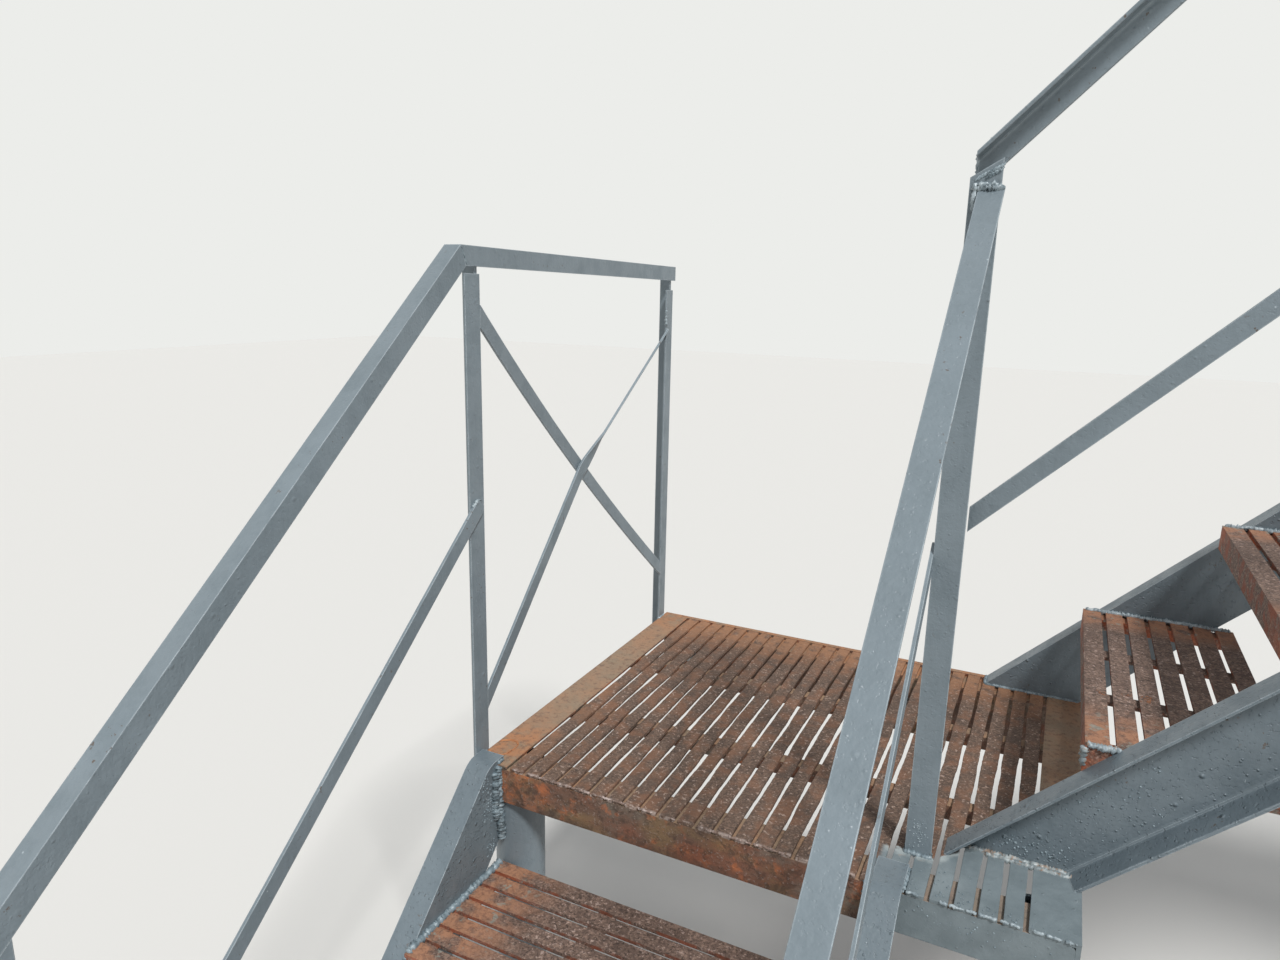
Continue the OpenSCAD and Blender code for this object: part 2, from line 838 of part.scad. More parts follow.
module top_rail_front() {
  half = slope / 2;
  drop = rail_leg + 2;
  color(paint)
    intersection() {
      side_yz(
        [for (p = angle_pts(rail_leg, rail_leg, rail_t)) [rail_y - p[0], top_guard_z - p[1]]],
        top_mitre_x, top_r + rail_leg
      );
      side_xz(
        [
          [top_mitre_x, top_guard_z + 1],
          [top_r + rail_leg, top_guard_z + 1],
          [top_r + rail_leg, top_guard_z - drop],
          [top_mitre_x + drop * tan(half), top_guard_z - drop]
        ],
        -far, far
      );
      // mitred to the end rail in plan
      translate([0, 0, top_guard_z - drop])
        linear_extrude(drop + 2)
          polygon([
            [top_x - far, rail_y + 1],
            [top_r - 1, rail_y + 1],
            [top_r + rail_leg + 1, rail_y - rail_leg - 1],
            [top_x - far, rail_y - rail_leg - 1]
          ]);
    }
}

module top_rail_end() {
  drop = rail_leg + 2;
  color(paint)
    intersection() {
      side_xz(
        [for (p = angle_pts(rail_leg, rail_leg, rail_t)) [top_r + p[0], top_guard_z - p[1]]],
        rail_y - rail_leg, wall_post_y
      );
      translate([0, 0, top_guard_z - drop])
        linear_extrude(drop + 2)
          polygon([
            [top_r - 1, 0],
            [top_r - 1, rail_y + 1],
            [top_r + rail_leg + 1, rail_y - rail_leg - 1],
            [top_r + rail_leg + 1, 0]
          ]);
    }
}

module top_midrail() {
  half = slope / 2;
  color(paint)
    side_xz(
      [
        [top_mid_x, top_mid_z],
        [top_r, top_mid_z],
        [top_r, top_mid_z - flat_w],
        [top_mid_x + flat_w * tan(half), top_mid_z - flat_w]
      ],
      mid_y, mid_y + flat_t
    );
}

module top_brace_down() {
  color(paint)
    flat_yz(
      top_r - flat_t,
      [corner_post_y + rail_leg / 2, top_guard_z - brace_high],
      [wall_post_y - rail_leg / 2, top_z + brace_low]
    );
}

module top_brace_up() {
  color(paint)
    flat_yz(
      top_r + rail_t,
      [corner_post_y + rail_leg / 2, top_z + brace_low],
      [wall_post_y - rail_leg / 2, top_guard_z - brace_high]
    );
}

// Strut from the top landing's front angle back to a plate on the wall
module top_strut(x, dir) {
  // underside of the front angle's top leg
  z1 = top_z - slat_t - edge_t;
  y1 = -top_d + edge_t;
  rise = top_d - edge_t - plate_t;
  z0 = z1 - rise;
  cx = x + dir * strut_leg / 2;
  wide = strut_leg * sqrt(2);
  intersection() {
    translate([0, y1, z1])
      rotate([45, 0, 0])
        translate([0, 0, -rise * 2])
          linear_extrude(rise * 3)
            polygon([for (p = angle_pts(strut_leg, strut_leg, strut_t)) [x + dir * p[0], p[1]]]);
    side_yz(
      [[y1, z1], [y1 + 2 * wide, z1], [-plate_t, z0 + 2 * wide], [-plate_t, z0 - wide], [y1, z1 - wide]],
      x - strut_leg, x + strut_leg
    );
  }
  difference() {
    translate([cx - plate_w / 2, -plate_t, z0 - plate_h / 2 + wide / 2])
      cube([plate_w, plate_t, plate_h]);
    for (i = [-1, 1], j = [-1, 1])
      translate([cx + i * plate_px / 2, eps, z0 + wide / 2 + j * plate_pz / 2])
        rotate([90, 0, 0])
          cylinder(d = anchor_d, h = plate_t + 2 * eps);
  }
}

module columns() {
  column(left_x, 1);
  column(right_x, -1);
}

module lower_midrails() {
  left_midrail();
  right_midrail();
}

module lower_posts() {
  lower_post(left_tip, -1)
    left_run()
      rail_room(0, -1);
  lower_post(right_tip, 1)
    right_run()
      rail_room(0, 1);
}

module guard_posts() {
  guard_post(front_heel_y, newel_leg, front_post_gap);
  guard_post(wall_heel_y, rail_leg, wall_post_gap);
}

module top_side_angles() {
  side_angle(top_x, top_z, top_d, 1);
  side_angle(top_r, top_z, top_d, -1);
}

module top_struts() {
  top_strut(top_x + strut_inset, 1);
  top_strut(top_r - strut_inset, -1);
}

color(rust) ledger(left_x, deck_z);  // wall_ledger
color(rust) back_angle(left_x, deck_z);  // deck_back_angle
color(rust) front_angle(left_x, deck_z, deck_d);  // deck_front_angle
color(rust) side_angle(left_x, deck_z, deck_d, 1);  // deck_left_angle
color(paint) side_angle(right_x, deck_z, deck_d, -1);  // deck_right_angle
color(rust) cross_bars(left_x, deck_z, deck_d);  // deck_cross_bars
color(rust) slats(left_x, deck_z, deck_d);  // deck_slats
color(paint) columns();
color(paint) lower_stringer(ll_x, -1, left_lap);  // lower_stringer_left
color(paint) lower_stringer(lr_x, 1, right_lap);  // lower_stringer_right
color(rust) lower_tread(1);  // lower_tread_1
color(rust) lower_tread(2);  // lower_tread_2
color(rust) lower_tread(3);  // lower_tread_3
left_handrail();  // lower_handrail_left
color(paint) right_handrail();  // lower_handrail_right
color(paint) lower_midrails();
color(paint) lower_posts();
color(paint) guard_posts();
guard_top_rail();
guard_brace_down();
guard_brace_up();
newel_post();
color(paint) upper_stringer();  // upper_stringer_outer
color(paint) upper_stringer_mirrored();  // upper_stringer_wall
color(rust) upper_tread(1);  // upper_tread_1
color(rust) upper_tread(2);  // upper_tread_2
color(rust) upper_tread(3);  // upper_tread_3
color(rust) upper_tread(4);  // upper_tread_4
color(rust) upper_tread(5);  // upper_tread_5
color(rust) upper_tread(6);  // upper_tread_6
color(rust) upper_tread(7);  // upper_tread_7
upper_handrail();
upper_midrail();
upper_post();
color(paint) ledger(top_x, top_z);  // top_ledger
color(rust) back_angle(top_x, top_z);  // top_back_angle
color(rust) front_angle(top_x, top_z, top_d);  // top_front_angle
color(rust) top_side_angles();
color(rust) cross_bars(top_x, top_z, top_d);  // top_cross_bars
color(rust) slats(top_x, top_z, top_d);  // top_slats
color(paint) top_struts();
color(paint) top_posts();
top_rail_front();
top_rail_end();
top_midrail();
top_brace_down();
top_brace_up();
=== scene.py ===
# %% [markdown]
# # Fire escape stair
# A steel fire escape: a slatted landing on two pipe columns, three treads down to the
# ground in front, and a flight along the wall up to a second landing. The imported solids
# already have every size and place. This notebook gives them their finishes, and adds
# what welding, painting and years of feet left behind: beads, spatter, scale, bent slats
# and the anchors' nuts. Everything is in metres. X runs along the wall, Y into it, Z up.

# %% Load the frame
import math
import random

import bmesh
import bpy
from mathutils import Matrix, Vector


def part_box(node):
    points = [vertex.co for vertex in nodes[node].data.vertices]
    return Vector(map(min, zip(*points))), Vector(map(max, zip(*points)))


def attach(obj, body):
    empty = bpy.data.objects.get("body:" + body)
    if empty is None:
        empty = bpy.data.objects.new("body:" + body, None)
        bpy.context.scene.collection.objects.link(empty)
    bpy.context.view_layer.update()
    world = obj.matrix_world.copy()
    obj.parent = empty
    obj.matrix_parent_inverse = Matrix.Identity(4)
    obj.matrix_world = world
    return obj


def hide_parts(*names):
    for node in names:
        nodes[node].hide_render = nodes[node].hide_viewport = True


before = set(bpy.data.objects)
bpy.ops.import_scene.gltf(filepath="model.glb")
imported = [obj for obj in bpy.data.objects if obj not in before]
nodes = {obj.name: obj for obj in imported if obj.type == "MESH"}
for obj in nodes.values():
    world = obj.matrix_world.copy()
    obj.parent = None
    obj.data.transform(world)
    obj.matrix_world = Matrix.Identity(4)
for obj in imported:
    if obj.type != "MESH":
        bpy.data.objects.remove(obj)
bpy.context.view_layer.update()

# %% [markdown]
# The places that most beads and bolts hang on could be typed in. They are read from the
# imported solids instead, so that they follow a landing that is made wider or deeper: its
# walking surface, its edges, the ground and the stringers' webs.

# %% Driving places
flange = 0.0445  # width of a channel's flange
web = 0.0048  # thickness of its web
deck_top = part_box("deck_slats")[1].z
front_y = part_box("deck_front_angle")[0].y
left_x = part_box("deck_left_angle")[0].x
ground_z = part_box("columns")[0].z
web_left = left_x + flange
web_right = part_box("lower_tread_1")[1].x
newel_x, newel_y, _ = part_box("newel_post")[0]
print("landing at", round(deck_top, 4), "front", round(front_y, 4), "ground", round(ground_z, 4))

# %% [markdown]
# The viewer stands on the ground in front of the lower flight and looks down over the
# right handrail. Place and direction were solved from edges whose directions are known.
# The camera could be turned by three angles, but a matrix whose columns are its right, up
# and backward axes takes the solved directions as they are.

# %% Camera
scene = bpy.context.scene
camera_at = Vector((0.3802, -1.9221, 0.8832))
camera_right = Vector((0.8953, 0.4450, 0.0194))
camera_up = Vector((-0.1143, 0.1875, 0.9756))
camera_data = bpy.data.cameras.new("viewer")
camera_data.lens = 24.30  # millimetres, on a sensor 36 mm wide
camera_data.sensor_width = 36.0
camera = bpy.data.objects.new("viewer", camera_data)
camera_back = camera_right.cross(camera_up).normalized()
camera_up = camera_back.cross(camera_right).normalized()
turn = Matrix((camera_right, camera_up, camera_back)).transposed().to_4x4()
camera.matrix_world = Matrix.Translation(camera_at) @ turn
scene.collection.objects.link(camera)
scene.camera = camera
print("eye height above the ground:", round(camera_at.z - ground_z, 3), "m")

# %% [markdown]
# Outdoors the light comes from a hazy sun and the sky. One broad sun lamp, high on the
# right and in front, lights the tops of rails and slats and leaves the webs in shade. Its
# wide angle keeps the shadows soft, which a narrow one or a spot would not. A weak lamp
# from the left and the sky fill the rest.

# %% Lights
scene.view_settings.view_transform = "Standard"


def lamp(name, towards, energy, angle):
    """Adds a sun lamp that shines from the direction of the vector towards."""
    data = bpy.data.lights.new(name, "SUN")
    data.energy = energy
    data.angle = math.radians(angle)
    made = bpy.data.objects.new(name, data)
    made.rotation_mode = "QUATERNION"
    made.rotation_quaternion = Vector(towards).to_track_quat("Z", "Y")
    scene.collection.objects.link(made)


lamp("key", (0.44, -0.39, 0.81), 2.9, 9)
lamp("fill", (-0.75, -0.55, 0.35), 0.25, 60)

# %% [markdown]
# Hex codes are sRGB, as a paint card gives them, but shaders count in linear light. One
# function turns the first into the second. Another adds a shader node with its settings
# and whatever feeds its sockets, so each finish below reads like a recipe.

# %% Colour and node helpers


def linear(code):
    """Turns an sRGB hex code into a linear colour with alpha."""
    parts = [int(code[i:i + 2], 16) / 255 for i in (0, 2, 4)]
    return tuple(p / 12.92 if p <= 0.04045 else ((p + 0.055) / 1.055) ** 2.4
                 for p in parts) + (1.0,)


def feed(tree, node, inputs):
    """Feeds a node's sockets from values or from other nodes' outputs."""
    for key, value in inputs.items():
        if isinstance(value, bpy.types.NodeSocket):
            tree.links.new(value, node.inputs[key])
        else:
            node.inputs[key].default_value = value


def add(tree, kind, settings=None, inputs=None):
    """Adds a shader node with its settings and whatever feeds it."""
    made = tree.nodes.new(kind)
    for key, value in (settings or {}).items():
        setattr(made, key, value)
    feed(tree, made, inputs or {})
    return made


def start_finish(name):
    """Starts a material; returns it, its node tree, its shader and the object coordinates."""
    made = bpy.data.materials.new(name)
    made.use_nodes = True
    tree = made.node_tree
    where = add(tree, "ShaderNodeTexCoord").outputs["Object"]
    return made, tree, tree.nodes["Principled BSDF"], where


print("slate in linear light:", [round(c, 3) for c in linear("737E84")])

# %% [markdown]
# Most of what weather does to steel comes in patches: rust, bare spots, dirt. A noise
# texture that is cut at a level gives patches of a known size over a known share of the
# surface, and unlike a painted image it has no seams and no end. Sizes are real ones.

# %% Patches


def blotches(tree, where, size, cover, soft, detail, amount=1.0):
    """Ragged patches about size metres across, over about a share cover of the surface.

    Soft is how wide their rims fade, detail how ragged they are, and amount their strength.
    """
    noise = add(tree, "ShaderNodeTexNoise", {}, {
        "Vector": where, "Scale": 1 / size, "Detail": detail, "Roughness": 0.62})
    edge = 0.5 + 0.30 * (0.5 - cover)
    cut = add(tree, "ShaderNodeMapRange", {"interpolation_type": "SMOOTHSTEP"}, {
        "Value": noise.outputs["Fac"], "From Min": edge - soft, "From Max": edge + soft,
        "To Max": amount})
    return cut.outputs["Result"]


def times(tree, first, *others):
    """The product of several factors."""
    result = first
    for other in others:
        result = add(tree, "ShaderNodeMath", {"operation": "MULTIPLY"}, {
            0: result, 1: other}).outputs[0]
    return result


def sum_of(tree, *parts):
    """A weighted sum: each part is a value and its weight."""
    result = 0.0
    for value, weight in parts:
        result = add(tree, "ShaderNodeMath", {"operation": "MULTIPLY_ADD"}, {
            0: value, 1: weight, 2: result}).outputs[0]
    return result


def painted_layers(tree, base, *layers):
    """Lays colours over a base: each layer is a hex code and where it shows, from 0 to 1."""
    result = linear(base)
    for code, amount in layers:
        result = add(tree, "ShaderNodeMix", {"data_type": "RGBA"}, {
            0: amount, 6: result, 7: linear(code)}).outputs[2]
    return result


print("patches run from 4 mm, for grit, to 240 mm, for clouds in the paint")

# %% [markdown]
# Two more measures are needed. A ramp along one coordinate tells where on the stair a
# point lies, such as near the wall. Domes are small round lumps, such as drops of weld
# metal or scale under the paint: each cell of a Voronoi texture holds one dome, and only
# some of the cells are used. Which way a surface faces tells its top from its sides.

# %% Ramps and domes


def ramp_along(tree, value, start, end):
    """0 before start and 1 past end along one coordinate; start may be the larger one."""
    return add(tree, "ShaderNodeMapRange", {"interpolation_type": "SMOOTHSTEP"}, {
        "Value": value, "From Min": start, "From Max": end}).outputs["Result"]


def domes(tree, where, spacing, radius, share):
    """Round lumps of that radius, in that share of cells of that spacing."""
    cells = add(tree, "ShaderNodeTexVoronoi", {}, {"Vector": where, "Scale": 1 / spacing})
    drawn = add(tree, "ShaderNodeSeparateColor", {}, {0: cells.outputs["Color"]})
    used = add(tree, "ShaderNodeMath", {"operation": "LESS_THAN"}, {
        0: drawn.outputs[0], 1: share}).outputs[0]
    return times(tree, ramp_along(tree, cells.outputs["Distance"], radius / spacing, 0.0), used)


def facing_up(tree):
    """The upward part of the surface's direction: 1 on top, 0 on upright faces."""
    normal = add(tree, "ShaderNodeNewGeometry").outputs["True Normal"]
    return add(tree, "ShaderNodeSeparateXYZ", {}, {0: normal}).outputs[2]


def rounded_edges(tree, radius):
    """The surface normal with sharp edges rounded off, so that they catch the light."""
    return add(tree, "ShaderNodeBevel", {"samples": 4}, {"Radius": radius}).outputs["Normal"]


print("a lump of 2 mm covers", round(100 * math.pi * 2 ** 2 / 14 ** 2), "% of a 14 mm cell")

# %% [markdown]
# ** Slate enamel.** The rails, posts and channels wear a thick semi-gloss oil enamel,
# brushed over old scale. It gives the eye a cool grey with an orange-peel skin, lumps
# where weld drops and scale were painted over, pale corners, and a few dark chips. The
# pale corners are partly worn paint and partly a painted highlight, where the sun would
# catch the rounded edges. They could be real bevels on every rail. The Bevel node is
# lighter: where its rounded normal departs from the flat one, there is an edge. The
# channels have more lumps than the rails, so how lumpy the skin is, is a setting.

# %% Slate enamel


def enamel_skin(tree, where, lumpy):
    """Brushed enamel: orange peel, slow waves, painted lumps and pits."""
    peel = add(tree, "ShaderNodeTexNoise", {}, {
        "Vector": where, "Scale": 1 / 0.005, "Detail": 3.0, "Roughness": 0.5})
    slow = add(tree, "ShaderNodeTexNoise", {}, {
        "Vector": where, "Scale": 1 / 0.020, "Detail": 4.0, "Roughness": 0.55})
    lumps = domes(tree, where, 0.0095, 0.0024, 0.42)
    drops = domes(tree, where, 0.023, 0.0046, 0.22)
    pits = blotches(tree, where, 0.006, 0.06, 0.05, 2)
    height = sum_of(tree, (peel.outputs["Fac"], 0.30), (slow.outputs["Fac"], 0.9),
                    (lumps, 1.6 * lumpy), (drops, 2.4 * lumpy), (pits, -0.6 * lumpy))
    return add(tree, "ShaderNodeBump", {}, {
        "Height": height, "Strength": 0.85, "Distance": 0.0012,
        "Normal": rounded_edges(tree, 0.0013)}).outputs["Normal"]


def worn_and_highlit_edge(tree, where, radius, share, amount):
    """1 on sharp edges and 0 on flats, broken up: worn paint and painted highlight on part of each
    edge.
    """
    flat = add(tree, "ShaderNodeNewGeometry").outputs["True Normal"]
    facing = add(tree, "ShaderNodeVectorMath", {"operation": "DOT_PRODUCT"}, {
        0: rounded_edges(tree, radius), 1: flat})
    return times(tree, ramp_along(tree, facing.outputs["Value"], 0.99, 0.88),
                 blotches(tree, where, 0.04, share, 0.15, 7, amount))


def slate_enamel(name, mid, light, dark, lumpy, chips=0.015):
    """Thick brushed enamel over old steel; chips is the share of bare spots."""
    made, tree, shader, where = start_finish(name)
    cloudy = blotches(tree, where, 0.24, 0.5, 0.22, 4)
    thin = blotches(tree, where, 0.05, 0.35, 0.16, 5)
    # strokes 6 mm wide and 40 mm long: 0.35 over 60 and over 9
    stroked = add(tree, "ShaderNodeMapping", {}, {"Vector": where, "Scale": (60, 60, 9)})
    brushed = blotches(tree, stroked.outputs["Vector"], 0.35, 0.5, 0.2, 3)
    chipped = times(tree, blotches(tree, where, 0.008, chips, 0.012, 6),
                    blotches(tree, where, 0.12, 0.3, 0.04, 4))
    colour = painted_layers(
        tree, mid,
        (light, times(tree, cloudy, 0.65)),  # clouds
        (dark, times(tree, thin, 0.45)),  # thin coats
        (light, times(tree, brushed, 0.20)),  # brush marks
        ("C3CED3", times(tree, domes(tree, where, 0.034, 0.0017, 0.30), 0.75)),  # drops
        # pale edges: worn paint, and a painted highlight where the sun would catch them
        ("BAC5CA", worn_and_highlit_edge(tree, where, 0.0024, 0.75, 0.85)),
        ("5E554E", chipped))
    feed(tree, shader, {
        "Base Color": colour, "Roughness": sum_of(tree, (thin, 0.14), (1.0, 0.36)),
        "Normal": enamel_skin(tree, where, lumpy)})
    return made


enamel = slate_enamel("brushed_slate_enamel", "737E84", "838F96", "647076", lumpy=0.30)
channel_enamel = slate_enamel(
    "lumpy_slate_enamel", "667177", "77838A", "566269", lumpy=1.0, chips=0.03)
print("finishes:", enamel.name, channel_enamel.name)

# %% [markdown]
# **Bare rusty steel.** The walking surfaces have lost nearly all their paint. Rust that is
# walked on turns brown-grey and granular. Where nobody treads, it stays orange. The grit
# is drawn at three millimetres, coarser than it is, or it would not show. It could be cut
# into the mesh, but bump gives the eye the same at no cost in triangles.

# %% Scaling rust


def rust_grit(tree, where, strength, calm):
    """Bump of scaling rust: grit, flakes and low domes; calm is 1 where paint fills it."""
    grit = add(tree, "ShaderNodeTexNoise", {}, {
        "Vector": where, "Scale": 1 / 0.0030, "Detail": 6.0, "Roughness": 0.72})
    flakes = blotches(tree, where, 0.009, 0.3, 0.05, 5)
    height = sum_of(tree, (grit.outputs["Fac"], 1.0), (flakes, 0.6))
    height = times(tree, height, sum_of(tree, (calm, -0.75), (1.0, 1.0)))
    height = sum_of(tree, (height, 1.0), (domes(tree, where, 0.010, 0.0026, 0.35), 0.8))
    return add(tree, "ShaderNodeBump", {}, {
        "Height": height, "Strength": strength, "Distance": 0.0013,
        "Normal": rounded_edges(tree, 0.0012)}).outputs["Normal"]


print("grit of 3 mm comes to", round(0.100 / 0.0030), "grains on 100 mm")

# %% [markdown]
# **Enamel over rust.** On the landing's right front corner the brush went over the rust.
# Enamel fills the grit there, ends in a ragged pale rim and is stained here and there. A
# second object for the coat would flicker against the first, so one recipe ends all the
# rusty finishes: it lays enamel over a zone and leaves the rest as it is.

# %% Enamel over rust


def paint_over(tree, where, shader, place, zone_x, zone_y, rusty, colour, strength=0.85, kept=1.0):
    """Ends a rusty finish: enamel where X is past zone_x and Y is in front of zone_y."""
    # the enamel's edge wanders by 14 mm, and lies 62 mm further back at the right
    reach = ramp_along(tree, place[0], zone_x + 0.070, zone_x + 0.130)
    fringe = blotches(tree, where, 0.016, 0.5, 0.25, 5)
    ragged = sum_of(tree, (fringe, 0.014), (reach, -0.062), (place[1], 1.0))
    zone = times(tree, ramp_along(tree, place[0], zone_x - 0.004, zone_x + 0.006),
                 ramp_along(tree, ragged, zone_y + 0.014, zone_y + 0.006), kept)
    tone = blotches(tree, where, 0.05, 0.5, 0.2, 5)
    stain = times(tree, zone, blotches(tree, where, 0.012, 0.10, 0.03, 5), 0.8)
    rim = times(tree, zone, ramp_along(tree, ragged, zone_y - 0.012, zone_y + 0.006), 0.7)
    paint = painted_layers(
        tree, "6C777B", ("7D888C", tone), ("A9B1B0", rim), ("A88768", times(tree, stain, rim)))
    mix = add(tree, "ShaderNodeMix", {"data_type": "RGBA"}, {0: zone, 6: colour, 7: paint})
    feed(tree, shader, {
        "Base Color": mix.outputs[2],
        "Roughness": sum_of(tree, (zone, 0.40 - rusty), (1.0, rusty)),
        "Normal": rust_grit(tree, where, strength, zone)})


paint_x = web_right - 0.001
paint_y = newel_y
nowhere = 99.0  # a border that no piece reaches
print("painted again right of", round(paint_x, 3), "and in front of", round(paint_y, 3))

# %% [markdown]
# **Landing slats.** Along each slat the colour is nearly even, but no two slats match. A
# material for each would do that, but a noise squeezed across the slats gives each its own
# tone in one. Pale specks are flakes that came off. The front ends keep pinkish remains of
# old paint.

# %% Rusty slats


def rusty_slats(name, edge_y, edge_x, zone_x):
    """Walked-on rust, orange towards the wall at Y = 0, with old paint at the front ends."""
    made, tree, shader, where = start_finish(name)
    place = add(tree, "ShaderNodeSeparateXYZ", {}, {0: where}).outputs
    # one tone a slat: there are 31 of them to the metre
    squeezed = add(tree, "ShaderNodeMapping", {}, {"Vector": where, "Scale": (31, 2.2, 1)})
    tone = blotches(tree, squeezed.outputs["Vector"], 1.0, 0.5, 0.16, 3)
    wall_end = times(tree, ramp_along(tree, place[1], -0.19, -0.02),
                     blotches(tree, where, 0.03, 0.80, 0.12, 6))
    left_end = times(tree, ramp_along(tree, place[0], edge_x + 0.17, edge_x + 0.05),
                     blotches(tree, where, 0.05, 0.42, 0.10, 6))
    front_end = times(tree, ramp_along(tree, place[1], edge_y + 0.007, edge_y + 0.001),
                      blotches(tree, where, 0.010, 0.50, 0.06, 6))
    colour = painted_layers(
        tree, "624E42",
        ("4E3E34", times(tree, tone, 0.60)),
        ("856D5C", blotches(tree, where, 0.0045, 0.42, 0.05, 6, 0.75)),  # grit
        ("3E3029", blotches(tree, where, 0.0050, 0.24, 0.04, 4, 0.75)),  # pits
        ("44362E", blotches(tree, where, 0.050, 0.34, 0.10, 6, 0.50)),  # dark
        ("8E6247", blotches(tree, where, 0.040, 0.34, 0.09, 6, 0.45)),  # fresh
        ("B8A091", blotches(tree, where, 0.0065, 0.10, 0.03, 5, 0.70)),  # flakes
        ("AF7E5B", times(tree, wall_end, 0.70)),
        ("9F7355", times(tree, left_end, 0.60)),
        ("B8A79E", times(tree, front_end, 0.70)))
    paint_over(tree, where, shader, place, zone_x, paint_y, 0.82, colour)
    return made


slat_finish = rusty_slats("granular_rust_on_slats", front_y, left_x, paint_x)
top_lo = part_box("top_slats")[0]
top_slat_finish = rusty_slats("granular_rust_on_top_slats", top_lo.y, top_lo.x, nowhere)
print("finishes:", slat_finish.name, top_slat_finish.name)

# %% [markdown]
# ** Flaking frame.** The landing's edge angles are mottled: orange and red rust, ochre
# stains and what is left of grey-green paint. Their top legs, seen through the gaps, are a
# light dusty tan, painted lighter still as sunlight on the top faces. On the right of the
# lower flight the painter went over the front edge and the slat ends, so the same finish
# turns to enamel there.

# %% Flaking frame


def flaking_frame(name, zone_x, zone_y, orange=0.60, ends=0.75, top_kept=1.0):
    """Old paint and rust in patches; orange, ends and top_kept are the shares of layers."""
    made, tree, shader, where = start_finish(name)
    place = add(tree, "ShaderNodeSeparateXYZ", {}, {0: where}).outputs
    upward = ramp_along(tree, facing_up(tree), 0.5, 0.8)
    longer = add(tree, "ShaderNodeMapping", {}, {
        "Vector": where, "Scale": (0.55, 1, 1)}).outputs["Vector"]
    bright = times(tree, ramp_along(tree, place[0], left_x + 0.20, left_x + 0.07),
                   blotches(tree, where, 0.035, 0.42, 0.12, 6))
    low = ramp_along(tree, place[2], 0.012, -0.004)  # the front leg's lower edge
    far_ends = add(tree, "ShaderNodeMath", {"operation": "MAXIMUM"}, {
        0: ramp_along(tree, place[1], front_y + 0.19, front_y + 0.09),
        1: ramp_along(tree, place[1], -0.12, -0.04)}).outputs[0]
    colour = painted_layers(
        tree, "6C5345",
        ("865039", blotches(tree, longer, 0.070, 0.42, 0.14, 7, 0.80)),  # red
        ("8F7650", blotches(tree, longer, 0.055, 0.26, 0.10, 7, 0.50)),  # ochre
        ("6F6F65", blotches(tree, longer, 0.065, 0.30, 0.08, 7, 0.60)),  # paint
        ("B26A43", blotches(tree, where, 0.030, 0.14, 0.07, 7, orange)),
        ("BF7448", times(tree, bright, 0.70)),
        ("3F3129", blotches(tree, where, 0.014, 0.30, 0.07, 7, 0.60)),  # scale
        ("9C8A80", blotches(tree, where, 0.0045, 0.10, 0.03, 6, 0.60)),  # flakes
        ("4A382E", times(tree, low, blotches(tree, where, 0.05, 0.60, 0.15, 5), 0.60)),
        # the top faces: dusty tan, and painted lighter as sunlight on them
        ("97846E", times(tree, upward, 0.80)),  # dust
        ("A87C5C", times(tree, upward, blotches(tree, where, 0.10, 0.40, 0.14, 7), 0.60)),
        ("B0774F", times(tree, upward, far_ends, blotches(tree, where, 0.035, 0.62, 0.12, 6),
                         ends)),
        ("6E5445", times(tree, upward, blotches(tree, where, 0.010, 0.24, 0.06, 6), 0.60)))
    covered = sum_of(tree, (upward, top_kept - 1.0), (1.0, 1.0))
    paint_over(tree, where, shader, place, zone_x, zone_y, 0.74, colour,
               strength=0.8, kept=covered)
    return made


front_finish = flaking_frame(
    "flaking_paint_on_front_edge", paint_x, nowhere, orange=0.75, ends=0.1, top_kept=0.3)
border_finish = flaking_frame("dusty_and_sunlit_rust_on_borders", nowhere, nowhere)
right_border_finish = flaking_frame("part_painted_right_border", -nowhere, paint_y)
print("finishes:", front_finish.name, border_finish.name, right_border_finish.name)

# %% [markdown]
# **Treads.** The treads are rusty like the landing, a little pinker, and orange where they
# run into the stringers, because feet keep to the middle. The nosing's front leg has red
# patches. Which axis runs along a tread depends on its flight, so that is a setting.

# %% Worn treads


def worn_tread(name, along, first, last):
    """Tread rust; along is 0 for X or 1 for Y, and first and last are the tread's ends."""
    made, tree, shader, where = start_finish(name)
    place = add(tree, "ShaderNodeSeparateXYZ", {}, {0: where}).outputs
    facing = facing_up(tree)
    upward = ramp_along(tree, facing, 0.4, 0.8)
    side = ramp_along(tree, facing, 0.6, 0.3)
    ends = add(tree, "ShaderNodeMath", {"operation": "MAXIMUM"}, {
        0: ramp_along(tree, place[along], first + 0.17, first + 0.05),
        1: ramp_along(tree, place[along], last - 0.12, last - 0.04)}).outputs[0]
    ragged = times(tree, ends, blotches(tree, where, 0.040, 0.66, 0.10, 6))
    colour = painted_layers(
        tree, "6B574D",
        ("917869", blotches(tree, where, 0.0042, 0.42, 0.05, 6, 0.80)),  # grit
        ("46362E", blotches(tree, where, 0.030, 0.30, 0.10, 6, 0.50)),  # dark
        ("3D2F28", blotches(tree, where, 0.0048, 0.26, 0.04, 4, 0.80)),  # pits
        ("BBA397", blotches(tree, where, 0.0060, 0.13, 0.03, 5, 0.70)),  # flakes
        ("AD7C5E", times(tree, ragged, upward, 0.85)),
        ("6E4B3B", times(tree, blotches(tree, where, 0.0060, 0.30, 0.04, 5), upward, ends, 0.55)),
        ("8F4D33", times(tree, blotches(tree, where, 0.030, 0.40, 0.07, 6), side, 0.75)),
        ("C06A45", times(tree, ragged, side, 0.50)),
        ("8B8F86", times(tree, ends, blotches(tree, where, 0.022, 0.13, 0.03, 5), 0.75)))
    paint_over(tree, where, shader, place, nowhere, nowhere, 0.80, colour, strength=0.95)
    return made


